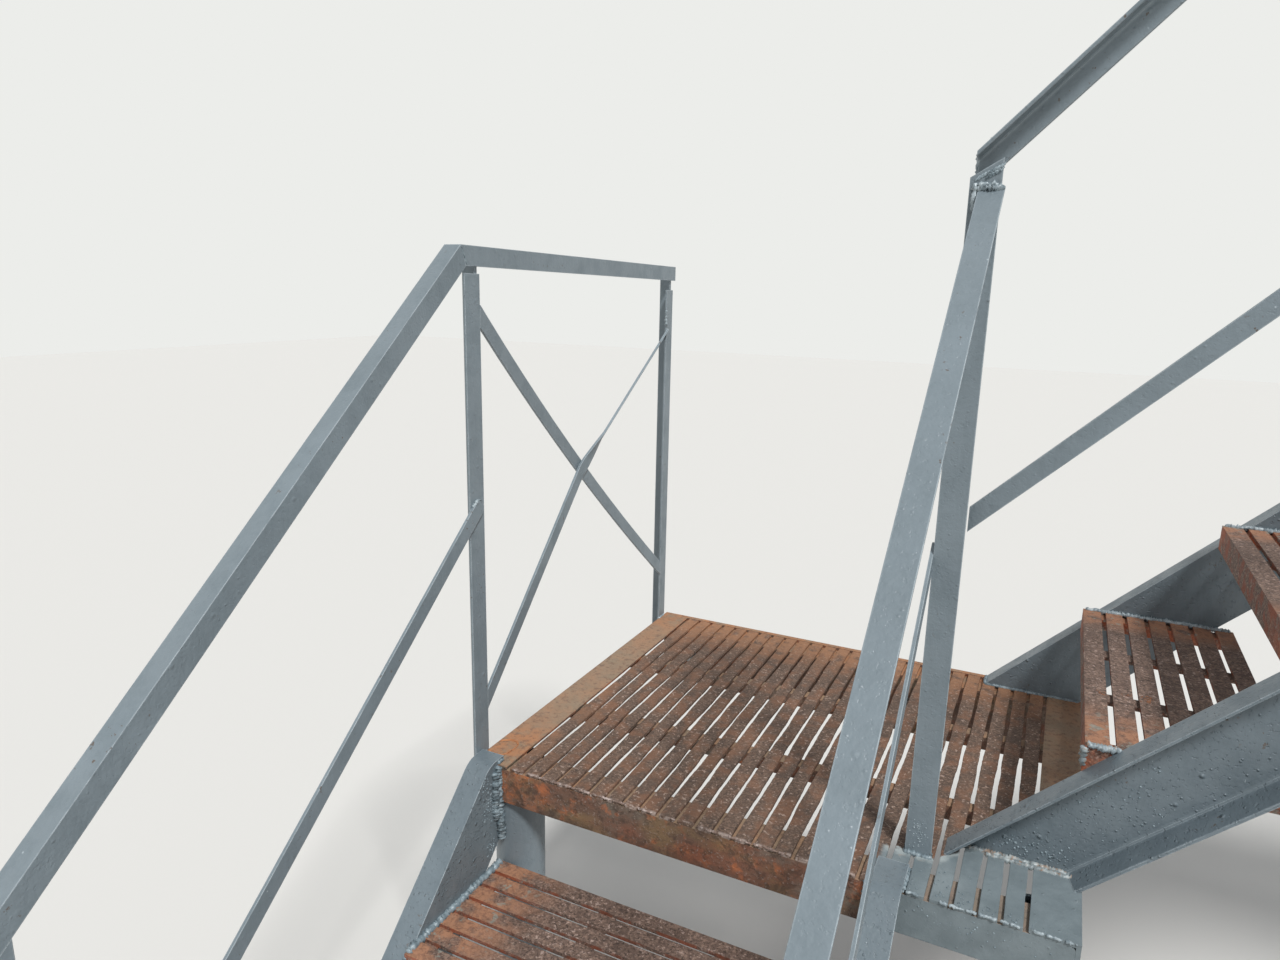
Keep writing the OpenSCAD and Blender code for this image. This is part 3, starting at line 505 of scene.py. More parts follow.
lower_lo, lower_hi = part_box("lower_tread_1")
upper_lo, upper_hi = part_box("upper_tread_1")
lower_tread_finish = worn_tread("worn_rust_on_lower_treads", 0, lower_lo.x, lower_hi.x)
upper_tread_finish = worn_tread("worn_rust_on_upper_treads", 1, upper_lo.y, upper_hi.y)
print("finishes:", lower_tread_finish.name, upper_tread_finish.name)

# %% [markdown]
# **Weld metal.** A bead that was painted with the rail is a thick glossy string, because
# enamel gathers on it. Where the painter's brush was full it is pale. A bead on the bare
# landing rusts orange-brown. All are one recipe with other colours.

# %% Weld finishes


def bead_finish(name, mid, light, dark, rough):
    """Painted or rusty weld metal."""
    made, tree, shader, where = start_finish(name)
    skin = add(tree, "ShaderNodeTexNoise", {}, {
        "Vector": where, "Scale": 1 / 0.0035, "Detail": 4.0})
    colour = painted_layers(
        tree, mid,
        (light, blotches(tree, where, 0.010, 0.42, 0.10, 5, 0.85)),
        (dark, blotches(tree, where, 0.008, 0.26, 0.05, 5, 0.75)))
    bump = add(tree, "ShaderNodeBump", {}, {
        "Height": skin.outputs["Fac"], "Strength": 0.7, "Distance": 0.0010})
    feed(tree, shader, {
        "Base Color": colour, "Roughness": rough, "Normal": bump.outputs["Normal"]})
    return made


painted_bead = bead_finish("enamel_over_weld", "74838A", "98A6AC", "4A565C", 0.34)
pale_bead = bead_finish("thick_enamel_over_weld", "87949A", "B3BEC2", "5F6D73", 0.30)
stained_bead = bead_finish("stained_enamel_over_weld", "858F92", "A9B1B1", "9A7C64", 0.42)
rusty_bead = bead_finish("rusty_weld", "84583F", "A8754F", "4E3A30", 0.75)
orange_bead = bead_finish("orange_rust_on_rim", "A87049", "BD8358", "8A5B40", 0.75)
old_paint = bead_finish("old_pink_paint", "7F6A60", "C4B4AD", "55433A", 0.70)
print("weld finishes:", [bead.name for bead in (
    painted_bead, pale_bead, stained_bead, rusty_bead, orange_bead, old_paint)])

# %% [markdown]
# **Zinc** is the finish of the anchors: bright metal with a white bloom and a little rust.
# Two materials could be mixed for it. One is simpler, with a metallic value that drops
# where the rust is.

# %% Zinc


def zinc_finish(name):
    """Zinc-plated steel with white bloom and a little rust."""
    made, tree, shader, where = start_finish(name)
    rusted = blotches(tree, where, 0.008, 0.20, 0.05, 5)
    colour = painted_layers(
        tree, "8E908F",
        ("C2C3BF", blotches(tree, where, 0.006, 0.4, 0.12, 5, 0.6)),
        ("7C4B31", rusted))
    feed(tree, shader, {
        "Base Color": colour, "Metallic": sum_of(tree, (rusted, -0.75), (1.0, 0.85)),
        "Roughness": 0.42})
    return made


zinc = zinc_finish("zinc_plated_steel")
print("finish:", zinc.name)

# %% [markdown]
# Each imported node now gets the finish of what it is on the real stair. A table keeps that
# in one place. Whatever it doesn't name, such as rails, posts and columns, is enamelled.

# %% Finishes on the nodes
finish_of = {
    "deck_front_angle": front_finish, "deck_cross_bars": border_finish,
    "deck_left_angle": border_finish, "deck_right_angle": right_border_finish,
    "deck_back_angle": border_finish, "wall_ledger": border_finish,
    "top_front_angle": border_finish, "top_side_angles": border_finish,
    "top_cross_bars": border_finish, "top_back_angle": border_finish,
    "deck_slats": slat_finish, "top_slats": top_slat_finish,
    "lower_stringer_left": channel_enamel, "lower_stringer_right": channel_enamel,
    "upper_stringer_outer": channel_enamel, "upper_stringer_wall": channel_enamel,
}
for name, node_object in nodes.items():
    finish = finish_of.get(name, enamel)
    if name.startswith("lower_tread"):
        finish = lower_tread_finish
    if name.startswith("upper_tread"):
        finish = upper_tread_finish
    node_object.data.materials.clear()
    node_object.data.materials.append(finish)
print("dressed", len(nodes), "nodes")

# %% [markdown]
# Every new piece ends the same way: a bmesh becomes a mesh whose place is in its
# vertices, it gets its finish, and it rides on the stair's only body. One helper does it
# for all, so that no step is forgotten.

# %% Finishing a piece


def finish_piece(name, bm, material, smooth=True):
    """Turns a bmesh into a piece of the stair."""
    bmesh.ops.recalc_face_normals(bm, faces=bm.faces)
    data = bpy.data.meshes.new(name)
    bm.to_mesh(data)
    bm.free()
    for polygon in data.polygons:
        polygon.use_smooth = smooth
    data.materials.append(material)
    piece = bpy.data.objects.new(name, data)
    scene.collection.objects.link(piece)
    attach(piece, "root")
    triangles = sum(len(p.vertices) - 2 for p in data.polygons)
    print(name, triangles, "triangles")
    return piece


print("triangles in the packed nodes:", sum(len(o.data.polygons) for o in nodes.values()))

# %% [markdown]
# The landing's slats are flat bars that years of feet and rust have bent a little, so the
# gaps between them open and close. Each slat starts as a cube that is stretched to the
# bar's size and cut across its length. Then both edges of each cross section slide
# sideways on a wave of their own, so the bar bends and its edges look worn. A displacement
# modifier could do it too, but then two bars might cross: here they never do.

# %% Wavy slats
slat_width = 0.0254
slat_count = 26
side_play, top_play = 0.0006, 0.0004  # how much narrower and lower a worn bar is
worn_radius = 0.0009
cross_cuts = 110  # cross sections on one slat
# waves on a slat's whole length, and how far each one reaches
edge_waves = [(1.3, 0.0008), (3.1, 0.0006), (7.0, 0.00035),
              (13.0, 0.0002), (37.0, 0.00016), (61.0, 0.0001)]
top_waves = [(1.1, 0.0006), (5.0, 0.00025)]


def wave(rng, amounts):
    """A slow random curve along a length: a sum of sine waves with random phases."""
    parts = [(a, rng.uniform(0.75, 1.25) * k, rng.uniform(0, math.tau)) for k, a in amounts]
    return lambda t: sum(a * math.sin(math.tau * k * t + p) for a, k, p in parts)


def wavy_slats(name, node, material, seed):
    """Replaces a landing's straight slats by bent ones in the same places."""
    rng = random.Random(seed)
    lo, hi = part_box(node)
    pitch = (hi.x - lo.x - slat_width) / (slat_count - 1)
    bm = bmesh.new()
    for i in range(slat_count):
        centre = lo.x + slat_width / 2 + i * pitch
        size = Vector((slat_width - side_play, hi.y - lo.y, hi.z - lo.z))
        verts = bmesh.ops.create_cube(bm, size=1.0)["verts"]
        bmesh.ops.scale(bm, vec=size, verts=verts)
        bmesh.ops.translate(bm, vec=(centre, (lo.y + hi.y) / 2, (lo.z + hi.z) / 2), verts=verts)
        edges = dict.fromkeys(e for v in verts for e in v.link_edges)
        rims = [e for e in edges if abs(e.verts[0].co.y - e.verts[1].co.y) > 0.1]
        bmesh.ops.subdivide_edges(bm, edges=rims, cuts=cross_cuts, use_grid_fill=True)
        made = [v for v in bm.verts if abs(v.co.x - centre) < pitch / 2]
        left, right = wave(rng, edge_waves), wave(rng, edge_waves)
        lift = wave(rng, top_waves)
        for v in made:
            t = (v.co.y - lo.y) / size.y
            calm = min(1.0, 6 * t, 6 * (1 - t))  # the ends are welded and stay put
            v.co.x += calm * (left(t) if v.co.x < centre else right(t))
            v.co.z = min(hi.z, v.co.z - top_play + calm * lift(t) * 0.5)
    piece = finish_piece(name, bm, material, smooth=False)
    bevel = piece.modifiers.new("rounded edges", "BEVEL")
    bevel.width = worn_radius
    bevel.segments = 2
    bevel.limit_method = "ANGLE"
    bevel.angle_limit = math.radians(50)
    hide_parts(node)


wavy_slats("landing_slats", "deck_slats", slat_finish, 11)
wavy_slats("top_landing_slats", "top_slats", top_slat_finish, 12)

# %% [markdown]
# Welds follow edges, so each is first a path: a few corners that are filled in with evenly
# spaced stops. Most paths run straight along an axis, and three small functions write
# those. A neglected edge keeps only bits of its weld, which are drawn at random from a
# seed, so that they fall the same way each time.

# %% Paths


def along_x(start, end, y, z):
    """A straight path along the wall."""
    return [(start, y, z), (end, y, z)]


def along_y(x, start, end, z):
    """A straight path towards the wall."""
    return [(x, start, z), (x, end, z)]


def upright(x, y, start, end):
    """A straight path up or down."""
    return [(x, y, start), (x, y, end)]


def along_path(points, step):
    """Evenly spaced points on a polyline, about one step apart."""
    points = [Vector(p) for p in points]
    found = [points[0].copy()]
    for a, b in zip(points, points[1:]):
        count = max(1, round((b - a).length / step))
        found += [a.lerp(b, k / count) for k in range(1, count + 1)]
    return found


def broken(path, longest, kept, rng):
    """Cuts a straight path into random bits, with gaps between, and keeps a share of them."""
    start, end = (Vector(p) for p in path)
    whole = (end - start).length
    bits, at = [], 0.0
    while at < whole:
        bit = rng.uniform(0.3, 1.0) * longest
        if rng.random() < kept:
            bits.append([start.lerp(end, at / whole), start.lerp(end, min(1, (at + bit) / whole))])
        at += bit * 1.15
    return bits


print("stops on 10 mm at 3 mm:", len(along_path(along_x(0.0, 0.010, 0, 0), 0.003)))

# %% [markdown]
# A weld bead is a string of small overlapping puddles. A curve with a round bevel would be
# too smooth for it. Here a ring of vertices is extruded from stop to stop, and its radius
# swells and shrinks at each ripple, with a random drift on top. The ring is half sunk into
# the corner, so only the crown shows. Rough is how uneven the string is: a careful bead has
# 0.13, a hurried one 0.35.

# %% Weld beads
ripple = 0.0042  # length of one puddle
ripple_height = 0.16  # how much a puddle swells, as a share of the radius
end_size = 0.55  # a bead starts and stops thinner


def next_ring(bm, ring):
    """Extrudes a ring of vertices on the spot and returns the new ring."""
    edges = dict.fromkeys(e for v in ring for e in v.link_edges if e.other_vert(v) in ring)
    grown = bmesh.ops.extrude_edge_only(bm, edges=list(edges))["geom"]
    return [g for g in grown if isinstance(g, bmesh.types.BMVert)]


def add_bead(bm, points, radius, rng, rough):
    """Extrudes a rippled string of weld metal along the points."""
    stops = along_path(points, ripple / 2)
    ring = bmesh.ops.create_circle(
        bm, cap_ends=True, segments=7, radius=radius * end_size)["verts"]
    heading = (stops[1] - stops[0]).to_track_quat("Z", "Y").to_matrix()
    bmesh.ops.rotate(bm, cent=(0, 0, 0), matrix=heading, verts=ring)
    bmesh.ops.translate(bm, vec=stops[0], verts=ring)
    for k, stop in enumerate(stops[1:], 1):
        ring = next_ring(bm, ring)
        if k == len(stops) - 1:
            swell = end_size
        else:
            swell = 1.0 + ripple_height * (1 if k % 2 else -1) + rng.uniform(-rough, rough)
        target = stop + Vector([rng.uniform(-rough, rough) * radius for _ in range(3)])
        now = sum((v.co for v in ring), Vector()) / len(ring)
        size = sum((v.co - now).length for v in ring) / len(ring)
        bmesh.ops.translate(bm, vec=target - now, verts=ring)
        factor = radius * swell / size
        bmesh.ops.scale(bm, vec=(factor,) * 3, space=Matrix.Translation(-target), verts=ring)
    bmesh.ops.contextual_create(bm, geom=ring)


def bead_piece(name, paths, radius, material, seed, rough=0.13):
    """One piece made of several beads."""
    rng = random.Random(seed)
    bm = bmesh.new()
    for points in paths:
        add_bead(bm, points, radius, rng, rough)
    return finish_piece(name, bm, material)


print("puddles on 100 mm of bead:", round(0.100 / ripple))

# %% [markdown]
# A hurried weld throws drops that freeze onto the steel beside it, and the brush leaves
# them on under the paint. Bump alone would show no outline against the light, so drops
# near a weld are real. One drop is a tiny flattened icosphere of twenty faces. It is
# repeated hundreds of times, so it must stay that simple.

# %% Spatter
flattened = 0.4  # how much of its height a drop loses as it lands


def drops_piece(name, fields, material, seed, allowed=lambda spot: True):
    """Drops on flat surfaces; a field is middle, spread, outward, count, least, most."""
    rng = random.Random(seed)
    bm = bmesh.new()
    for middle, spread, outward, count, least, most in fields:
        for _ in range(count):
            size = least + (most - least) * rng.random() ** 2
            spot = [m + rng.triangular(-r, r) for m, r in zip(middle, spread)]
            if not allowed(spot):
                continue
            drop = bmesh.ops.create_icosphere(bm, subdivisions=1, radius=size)["verts"]
            squash = [1.0 - flattened * abs(c) for c in outward]
            bmesh.ops.scale(bm, vec=squash, verts=drop)
            bmesh.ops.translate(bm, vec=spot, verts=drop)
    return finish_piece(name, bm, material)


print("height of a drop 3 mm wide:", round(3 * (1 - flattened), 1), "mm")

# %% [markdown]
# The lower flight is welded to the landing by a fat upright bead on each stringer, laid
# in more than one pass, with spatter all over the web beside it. Every tread is welded to
# the webs along its ends and down its nosing.

# %% Lower flight welds
head_y = front_y - 0.001
stringer_beads = [
    [(web_left + 0.002, head_y, deck_top - 0.002), (web_left + 0.002, head_y, -0.004),
     (web_left + 0.003, front_y + 0.004, -0.084)],
    upright(web_left, front_y - 0.009, deck_top - 0.010, -0.040),
    upright(web_right - 0.002, head_y, deck_top - 0.002, -0.080),
]
bead_piece("stringer_head_welds", stringer_beads, 0.0078, painted_bead, 21, 0.20)

drops_piece("stringer_spatter", [
    ((web_left, front_y - 0.026, 0.005), (0, 0.022, 0.055), (1, 0, 0), 110, 0.0008, 0.0024),
    ((web_left, front_y - 0.020, -0.080), (0, 0.016, 0.030), (1, 0, 0), 40, 0.0008, 0.0022),
    ((web_right, front_y - 0.024, 0.005), (0, 0.020, 0.055), (-1, 0, 0), 60, 0.0008, 0.0022),
], painted_bead, 25)

left_lap, right_lap = 0.018, 0.050
lap_beads = []
for x0, x1, lap in ((left_x, web_left, left_lap), (web_right, web_right + flange, right_lap)):
    lap_beads += [along_x(x0, x1, front_y + lap, deck_top + 0.001),
                  along_y(x1, front_y, front_y + lap, deck_top + 0.002),
                  along_y(x0, front_y, front_y + lap, deck_top + 0.002)]
bead_piece("stringer_lap_welds", lap_beads, 0.0035, painted_bead, 22, 0.2)

tread_beads, under_beads = [], []
for i in (1, 2, 3):
    lo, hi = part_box(f"lower_tread_{i}")
    tread_beads += [along_y(x, lo.y + 0.004, hi.y - 0.004, hi.z)
                    for x in (lo.x + 0.002, hi.x - 0.002)]
    under_beads += [upright(x, lo.y + 0.002, hi.z - 0.006, lo.z + 0.002) for x in (lo.x, hi.x)]
bead_piece("lower_tread_welds", tread_beads, 0.0062, painted_bead, 23, 0.22)
bead_piece("nosing_welds", under_beads, 0.0038, painted_bead, 24)

# %% [markdown]
# The landing's front edge was welded slat by slat. On the bare part a crust of scale and
# pinkish old paint is left along it. On the painted part the enamel stands on it in pale
# lumps, with spatter around them. A pattern in the finish would leave the edge's outline
# straight, so both are bits of bead, with gaps between.

# %% Front edge
edge_rng = random.Random(41)
edge_z = deck_top - 0.0008
rusty_edge = broken(along_x(-0.405, 0.205, front_y - 0.0002, edge_z), 0.028, 0.72, edge_rng)
painted_edge = broken([(0.216, front_y - 0.0004, edge_z),
                       (0.474, front_y - 0.0002, edge_z - 0.0002)], 0.024, 0.92, edge_rng)
bead_piece("front_edge_crust", rusty_edge, 0.0019, old_paint, 42, 0.32)
bead_piece("front_edge_lumps", painted_edge, 0.0023, pale_bead, 43, 0.30)
slat_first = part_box("deck_slats")[0].x + slat_width / 2
slat_pitch = 0.0318


def on_slat(spot):
    """True where a slat, not a gap, is below; the front face has no gaps."""
    off = (spot[0] - slat_first + slat_pitch / 2) % slat_pitch - slat_pitch / 2
    return spot[2] < deck_top or abs(off) < slat_width / 2 - 0.003


drops_piece("front_edge_spatter", [
    ((0.345, front_y + 0.012, deck_top), (0.125, 0.012, 0), (0, 0, 1), 110, 0.0006, 0.0018),
    ((0.345, front_y, 0.035), (0.125, 0, 0.018), (0, -1, 0), 50, 0.0006, 0.0017),
    ((0.300, front_y + 0.055, deck_top), (0.080, 0.040, 0), (0, 0, 1), 50, 0.0006, 0.0015),
], painted_bead, 45, on_slat)

# %% [markdown]
# The upper flight's treads are welded to their webs in the same way. Both stringers are
# cut level and stand on the slats. The outer one has a broad, lumpy bead along its foot,
# pale with paint and stained by rust at the right.

# %% Upper flight welds
upper_beads = []
for i in range(1, 8):
    lo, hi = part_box(f"upper_tread_{i}")
    upper_beads += [along_x(lo.x + 0.004, hi.x - 0.004, y, hi.z)
                    for y in (lo.y + 0.0015, hi.y - 0.0015)]
bead_piece("upper_tread_welds", upper_beads, 0.0046, pale_bead, 31, 0.28)

bead_piece("first_nosing_weld", [
    along_x(upper_lo.x + 0.002, upper_lo.x + 0.040, upper_lo.y + 0.003, upper_hi.z),
    upright(upper_lo.x, upper_lo.y + 0.002, upper_hi.z - 0.003, upper_hi.z - 0.034),
], 0.0048, stained_bead, 34, 0.26)

foot_start = 0.294  # the stringers' level cuts on the slats start here
foot_end = foot_start + 0.1815
outer_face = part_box("upper_stringer_outer")[1].y - web
wall_lo, wall_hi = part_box("upper_stringer_wall")
bead_piece("outer_foot_weld", [
    along_x(foot_start + 0.020, foot_end - 0.006, outer_face - 0.002, deck_top),
    [(foot_start + 0.055, outer_face - 0.007, deck_top - 0.001),
     (foot_end - 0.002, outer_face - 0.010, deck_top - 0.001)],
], 0.0042, stained_bead, 32, 0.26)
bead_piece("wall_foot_weld", [
    along_x(foot_start, foot_end, wall_lo.y, deck_top),
    along_y(foot_start, wall_lo.y, wall_hi.y, deck_top),
], 0.0035, painted_bead, 35, 0.2)

# %% [markdown]
# Spatter from the foot's weld lies on the outer web, and rusty lumps lie on the first
# tread. None may hang in the air, so a function says whether a spot is on the metal. That
# lets the same scattering work on a sloping web and on slats with gaps between them.

# %% Upper flight spatter
climb = 0.976  # rise of the upper flight for each metre of run
web_drop = 0.089  # at its foot, the web's middle line is this far under the landing
half_web = 0.060
nosing_depth, slat_start, slat_step, slat_gap = 0.030, 0.0318, 0.037, 0.0100
lumps_y, more_lumps_y = -0.447, -0.455


def on_outer_web(spot):
    """True on the outer stringer's web, which climbs at the flight's slope."""
    middle = deck_top + climb * (spot[0] - foot_start) - web_drop
    return abs(spot[2] - middle) < half_web and spot[2] > deck_top + 0.004


drops_piece("upper_spatter", [
    ((0.415, outer_face, 0.085), (0.080, 0, 0.022), (0, -1, 0), 90, 0.0008, 0.0024),
    ((0.520, outer_face, 0.190), (0.120, 0, 0.110), (0, -1, 0), 120, 0.0007, 0.0018),
], painted_bead, 36, on_outer_web)


def on_first_tread(spot):
    """True on the nosing and the slats of the upper flight's first tread."""
    off = spot[0] - upper_lo.x
    return off < nosing_depth or (off - slat_start) % slat_step > slat_gap


drops_piece("tread_weld_lumps", [
    ((0.545, lumps_y, upper_hi.z), (0.034, 0.016, 0), (0, 0, 1), 60, 0.0008, 0.0028),
    ((0.485, more_lumps_y, upper_hi.z), (0.010, 0.012, 0), (0, 0, 1), 18, 0.0008, 0.0024),
], rusty_bead, 37, on_first_tread)

# %% [markdown]
# The newel is an angle that stands on the slats, with a bead all the way round its foot.
# Its path is the outline of the angle's section, a little outside the steel.

# %% Newel foot
newel_leg, newel_thick = 0.0381, 0.0048


def angle_ring(x, y, z, leg, thick):
    """A closed path round an angle whose heel is at x, y and whose legs run to +X and +Y."""
    out = 0.0008  # from the steel to the bead's middle
    return [
        (x - out, y - out, z), (x + leg + out, y - out, z), (x + leg + out, y + thick + out, z),
        (x + thick + out, y + thick + out, z), (x + thick + out, y + leg + out, z),
        (x - out, y + leg + out, z), (x - out, y - out, z)]


bead_piece("newel_foot_weld", [
    angle_ring(newel_x, newel_y, deck_top, newel_leg, newel_thick),
], 0.0044, painted_bead, 33, 0.25)

# %% [markdown]
# Three rails meet at the newel's head. There the welder built metal up in short slanting
# strokes, ran a lumpy bead over the end of the right handrail and down its side, and
# closed the end of the upper handrail. The more uneven a weld is, the higher its rough.

# %% Newel head
rail_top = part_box("lower_handrail_right")[1].z
rail_left = newel_x + 0.0106
bead_piece("newel_head_weld", [
    along_x(rail_left - 0.001, rail_left + 0.031, newel_y - 0.0015, rail_top + 0.001),
    along_x(rail_left, rail_left + 0.024, newel_y - 0.0008, rail_top + 0.005),
    [(rail_left - 0.0035, newel_y - 0.001, rail_top + 0.007),
     (rail_left - 0.0035, newel_y - 0.002, rail_top - 0.026)],
], 0.0036, pale_bead, 38, 0.40)

strokes = []
for k in range(9):
    x = newel_x + 0.006 + 0.0036 * k
    z = rail_top + 0.009 + 0.0018 * k
    strokes.append([(x, newel_y, z), (x + 0.006, newel_y, z + 0.0075)])
    if k > 3:
        strokes.append([(x - 0.002, newel_y, z - 0.005), (x + 0.004, newel_y, z + 0.002)])
bead_piece("newel_head_strokes", strokes, 0.0015, painted_bead, 39, 0.35)

rail_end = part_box("upper_handrail")[0]
rail_web_y, rail_top_y = -0.6775, -0.6930  # the middles of the handrail's two legs
bead_piece("upper_rail_end_weld", [
    upright(rail_end.x - 0.0004, rail_web_y, rail_end.z + 0.004, rail_end.z + 0.0475),
    [(rail_end.x + 0.014, rail_top_y, rail_end.z + 0.0575),
     (rail_end.x + 0.018, rail_top_y, rail_end.z + 0.0615)],
], 0.0030, pale_bead, 46, 0.22)
drops_piece("newel_spatter", [
    ((newel_x + 0.005, newel_y, rail_top - 0.008), (0.004, 0, 0.022), (0, -1, 0),
     26, 0.0007, 0.0018),
    ((newel_x + 0.018, newel_y, deck_top + 0.032), (0.015, 0, 0.030), (0, -1, 0),
     60, 0.0006, 0.0016),
], pale_bead, 47)

# %% [markdown]
# The guard at the landing's end was put together on site: short ragged welds hold the mid
# rail and the braces to its posts, and a smooth one closes the mitre of its top rail.

# %% Guard welds
guard_lo, guard_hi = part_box("guard_posts")
inner = guard_hi.x  # the face of the posts that the mid rail and the braces lie on
face = inner - 0.0005
front_post_y, wall_post_y = -0.7685, -0.0492  # where the braces' ends lie
bead_piece("guard_welds", [
    # the mid rail, the braces' ends at the wall, the front post's top, the posts' feet
    [(inner + 0.001, -0.800, 0.5195), (inner + 0.001, -0.788, 0.5295),
     (inner + 0.001, -0.776, 0.5255)],
    [(inner - 0.0065, wall_post_y, 0.2180), (inner - 0.0055, wall_post_y, 0.1850)],
    [(inner - 0.0010, wall_post_y, 0.8300), (face, wall_post_y, 0.7950)],
    [(inner - 0.024, front_post_y, 0.9070), (inner - 0.005, front_post_y, 0.9090)],
    along_y(face, guard_lo.y + 0.010, guard_lo.y + 0.034, 0.0620),
    along_y(face, guard_hi.y - 0.033, guard_hi.y - 0.003, 0.0635),
], 0.0034, pale_bead, 51, 0.36)
drops_piece("guard_spatter", [
    ((inner - 0.016, -0.7682, 0.545), (0.013, 0, 0.028), (0, -1, 0), 30, 0.0007, 0.0018),
], painted_bead, 52)

mitre_lo, mitre_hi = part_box("guard_top_rail")
bead_piece("guard_mitre_weld", [
    [(inner - 0.0006, mitre_lo.y + 0.001, mitre_hi.z - 0.002),
     (inner - 0.0006, mitre_lo.y + 0.0135, mitre_hi.z - 0.0300)],
], 0.0016, painted_bead, 53, 0.05)

# %% [markdown]
# On the left edge angle, just behind the stringer, an old slot shows as a tongue of
# smoother metal with a raised orange rim. The slot is filled, so nothing has to be cut out
# of the angle: a thin bead laid round its outline is all that stands up.

# %% Old slot
slot_x, slot_y = left_x + 0.0015, -0.774
slot_outline = [(0, 0), (0.016, -0.003), (0.032, -0.002), (0.0385, 0.009), (0.0395, 0.029),
                (0.037, 0.042), (0.029, 0.0495), (0.019, 0.0505), (0.008, 0.044), (0, 0.036)]
slot_rim = [(slot_x + x, slot_y + y, deck_top - 0.0003) for x, y in slot_outline]
bead_piece("old_slot_rim", [slot_rim], 0.0027, orange_bead, 54, 0.10)

# %% [markdown]
# The columns and the stringers stand on plates, and a bead runs round each column and
# along each web. A circle is a path too, of 24 straight bits.

# %% Plate welds
plate_top = ground_z + 0.010
column_x, column_y, column_r = 0.4237, -0.7532, 0.04445
foot_first, foot_last = -1.652, -1.480  # where the stringers' webs meet their foot plates
turns = [math.tau * k / 24 for k in range(25)]
plate_beads = [
    [(side * column_x + column_r * math.cos(t), column_y + column_r * math.sin(t), plate_top)
     for t in turns] for side in (-1, 1)]
plate_beads += [along_y(x, foot_first, foot_last, plate_top) for x in (web_left, web_right)]
bead_piece("plate_welds", plate_beads, 0.0050, painted_bead, 55, 0.15)

# %% [markdown]
# Expansion anchors hold the ledgers, the columns' base plates, the stringers' foot plates
# and the struts' wall plates. Each has a washer, a hexagon nut and the end of its stud. A
# real thread is a helix. At this size a stack of rings that are wide and narrow by turns
# reads the same, and needs far fewer faces.

# %% One anchor
washer_r, washer_t = 0.0135, 0.0022
nut_r, nut_t = 0.0110, 0.0100
stud_r, stud_start, stud_end = 0.0060, 0.0100, 0.0260
thread_steps = 14
thread_root = 0.88  # the thread's root radius, as a share of the stud's


def add_anchor(bm, at, outward):
    """Adds a washer, nut and threaded stud that stand on a surface and point outward."""
    washer = bmesh.ops.create_cone(
        bm, cap_ends=True, segments=24, radius1=washer_r, radius2=washer_r - 0.0005,
        depth=washer_t, matrix=Matrix.Translation((0, 0, washer_t / 2)))
    nut = bmesh.ops.create_cone(
        bm, cap_ends=True, segments=6, radius1=nut_r, radius2=nut_r,
        depth=nut_t, matrix=Matrix.Translation((0, 0, washer_t + nut_t / 2)))
    nut_edges = dict.fromkeys(e for v in nut["verts"] for e in v.link_edges)
    rounded = bmesh.ops.bevel(
        bm, geom=list(nut_edges), offset=0.0009, offset_type="OFFSET", segments=2, profile=0.5,
        affect="EDGES", material=-1)
    made = washer["verts"] + [v for v in nut["verts"] if v.is_valid] + rounded["verts"]
    ring = bmesh.ops.create_circle(
        bm, cap_ends=True, segments=12, radius=stud_r,
        matrix=Matrix.Translation((0, 0, stud_start)))["verts"]
    made += ring
    for k in range(1, thread_steps + 1):
        ring = next_ring(bm, ring)
        rise = (stud_end - stud_start) / thread_steps
        bmesh.ops.translate(bm, vec=(0, 0, rise), verts=ring)
        factor = thread_root if k % 2 else 1 / thread_root
        bmesh.ops.scale(bm, vec=(factor, factor, 1), verts=ring)
        made += ring
    bmesh.ops.contextual_create(bm, geom=ring)
    made = list(dict.fromkeys(v for v in made if v.is_valid))
    turn_to = Vector(outward).to_track_quat("Z", "Y").to_matrix()
    bmesh.ops.rotate(bm, cent=(0, 0, 0), matrix=turn_to, verts=made)
    bmesh.ops.translate(bm, vec=at, verts=made)


def anchor_piece(name, spots, outward):
    """One piece made of several anchors on the same kind of surface."""
    bm = bmesh.new()
    for at in spots:
        add_anchor(bm, Vector(at), outward)
    return finish_piece(name, bm, zinc, smooth=False)


print("nut across its flats:", round(2000 * nut_r * math.cos(math.pi / 6), 1), "mm")

# %% [markdown]
# The anchors stand in rows of four on each ledger, at the corners of the square plates
# and in pairs on the foot plates, over the holes that the solids already have.

# %% Anchors on the stair
end_margin = 0.080  # from a ledger's end to its first anchor
anchor_height = 0.029  # above a ledger's lower edge
ledger_spots = []
for node in ("wall_ledger", "top_ledger"):
    lo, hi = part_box(node)
    middle = (lo.x + hi.x) / 2
    reach = (hi.x - lo.x) / 2 - end_margin
    ledger_spots += [(middle + f * reach, lo.y, lo.z + anchor_height)
                     for f in (-1, -1 / 3, 1 / 3, 1)]
anchor_piece("ledger_anchors", ledger_spots, (0, -1, 0))

corner = 0.056  # from a column's middle to its plate's anchors
beside = 0.020  # from a stringer's flange to its plate's anchors
foot_anchor_y = (-1.6194, -1.5103)
floor_spots = [(side * column_x + i * corner, column_y + j * corner, plate_top)
               for side in (-1, 1) for i in (-1, 1) for j in (-1, 1)]
floor_spots += [(x, y, plate_top)
                for x in (web_left - flange - beside, web_right + flange + beside)
                for y in foot_anchor_y]
anchor_piece("floor_anchors", floor_spots, (0, 0, 1))

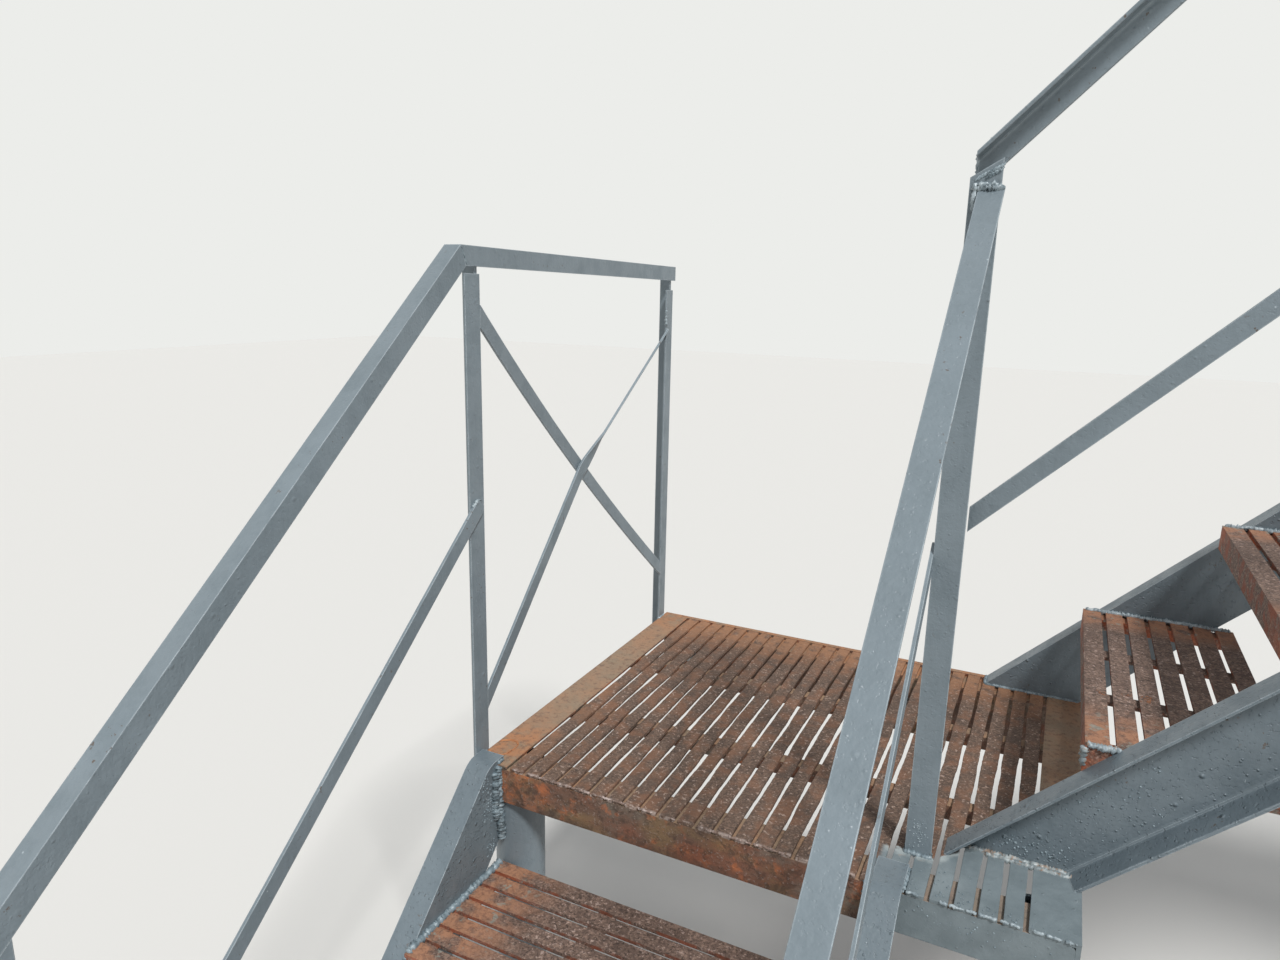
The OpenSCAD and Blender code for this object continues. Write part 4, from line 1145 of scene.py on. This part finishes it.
strut_lo, strut_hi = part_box("top_struts")
half_plate_x, half_plate_z, plate_face = 0.060, 0.090, -0.010
hole_x, hole_z = 0.040, 0.065  # from a wall plate's middle to its holes
strut_spots = [(x + i * hole_x, plate_face, strut_lo.z + half_plate_z + j * hole_z)
               for x in (strut_lo.x + half_plate_x, strut_hi.x - half_plate_x)
               for i in (-1, 1) for j in (-1, 1)]
anchor_piece("strut_anchors", strut_spots, (0, -1, 0))

# %% [markdown]
# The floor is plain and pale. It only catches the stair's shadow, so it is staged and
# isn't part of the object. A sky bright enough to look white would also wash out the
# paint. So rays from the camera, from shiny metal and through glass meet a near white
# backdrop, and all other rays meet a dimmer sky that lights the stair.

# %% Floor and sky
floor_bm = bmesh.new()
bmesh.ops.create_grid(floor_bm, x_segments=1, y_segments=1, size=20.0)
bmesh.ops.translate(floor_bm, vec=(1.2, -0.8, ground_z - 0.0005), verts=floor_bm.verts)
floor_mesh = bpy.data.meshes.new("floor")
floor_bm.to_mesh(floor_mesh)
floor_bm.free()
floor = bpy.data.objects.new("floor", floor_mesh)
scene.collection.objects.link(floor)
floor_finish, _, floor_shader, _ = start_finish("pale_floor")
floor_shader.inputs["Base Color"].default_value = linear("DEDCD7")
floor_shader.inputs["Roughness"].default_value = 0.9
floor_mesh.materials.append(floor_finish)

world = bpy.data.worlds.new("sky")
scene.world = world
world.use_nodes = True
sky = world.node_tree
sky.nodes.clear()
seen = add(sky, "ShaderNodeLightPath")
fill_light = add(sky, "ShaderNodeBackground", {}, {"Color": linear("F0F5FB"), "Strength": 0.38})
backdrop = add(sky, "ShaderNodeBackground", {}, {"Color": linear("ECEDEA"), "Strength": 1.0})
mirrored = add(sky, "ShaderNodeMath", {"operation": "MAXIMUM"}, {
    0: seen.outputs["Is Camera Ray"], 1: seen.outputs["Is Glossy Ray"]}).outputs[0]
shown = add(sky, "ShaderNodeMath", {"operation": "MAXIMUM"}, {
    0: mirrored, 1: seen.outputs["Is Transmission Ray"]}).outputs[0]
choose = add(sky, "ShaderNodeMixShader", {}, {
    0: shown, 1: fill_light.outputs[0], 2: backdrop.outputs[0]})
add(sky, "ShaderNodeOutputWorld", {}, {"Surface": choose.outputs[0]})
print("floor at", round(ground_z, 4))
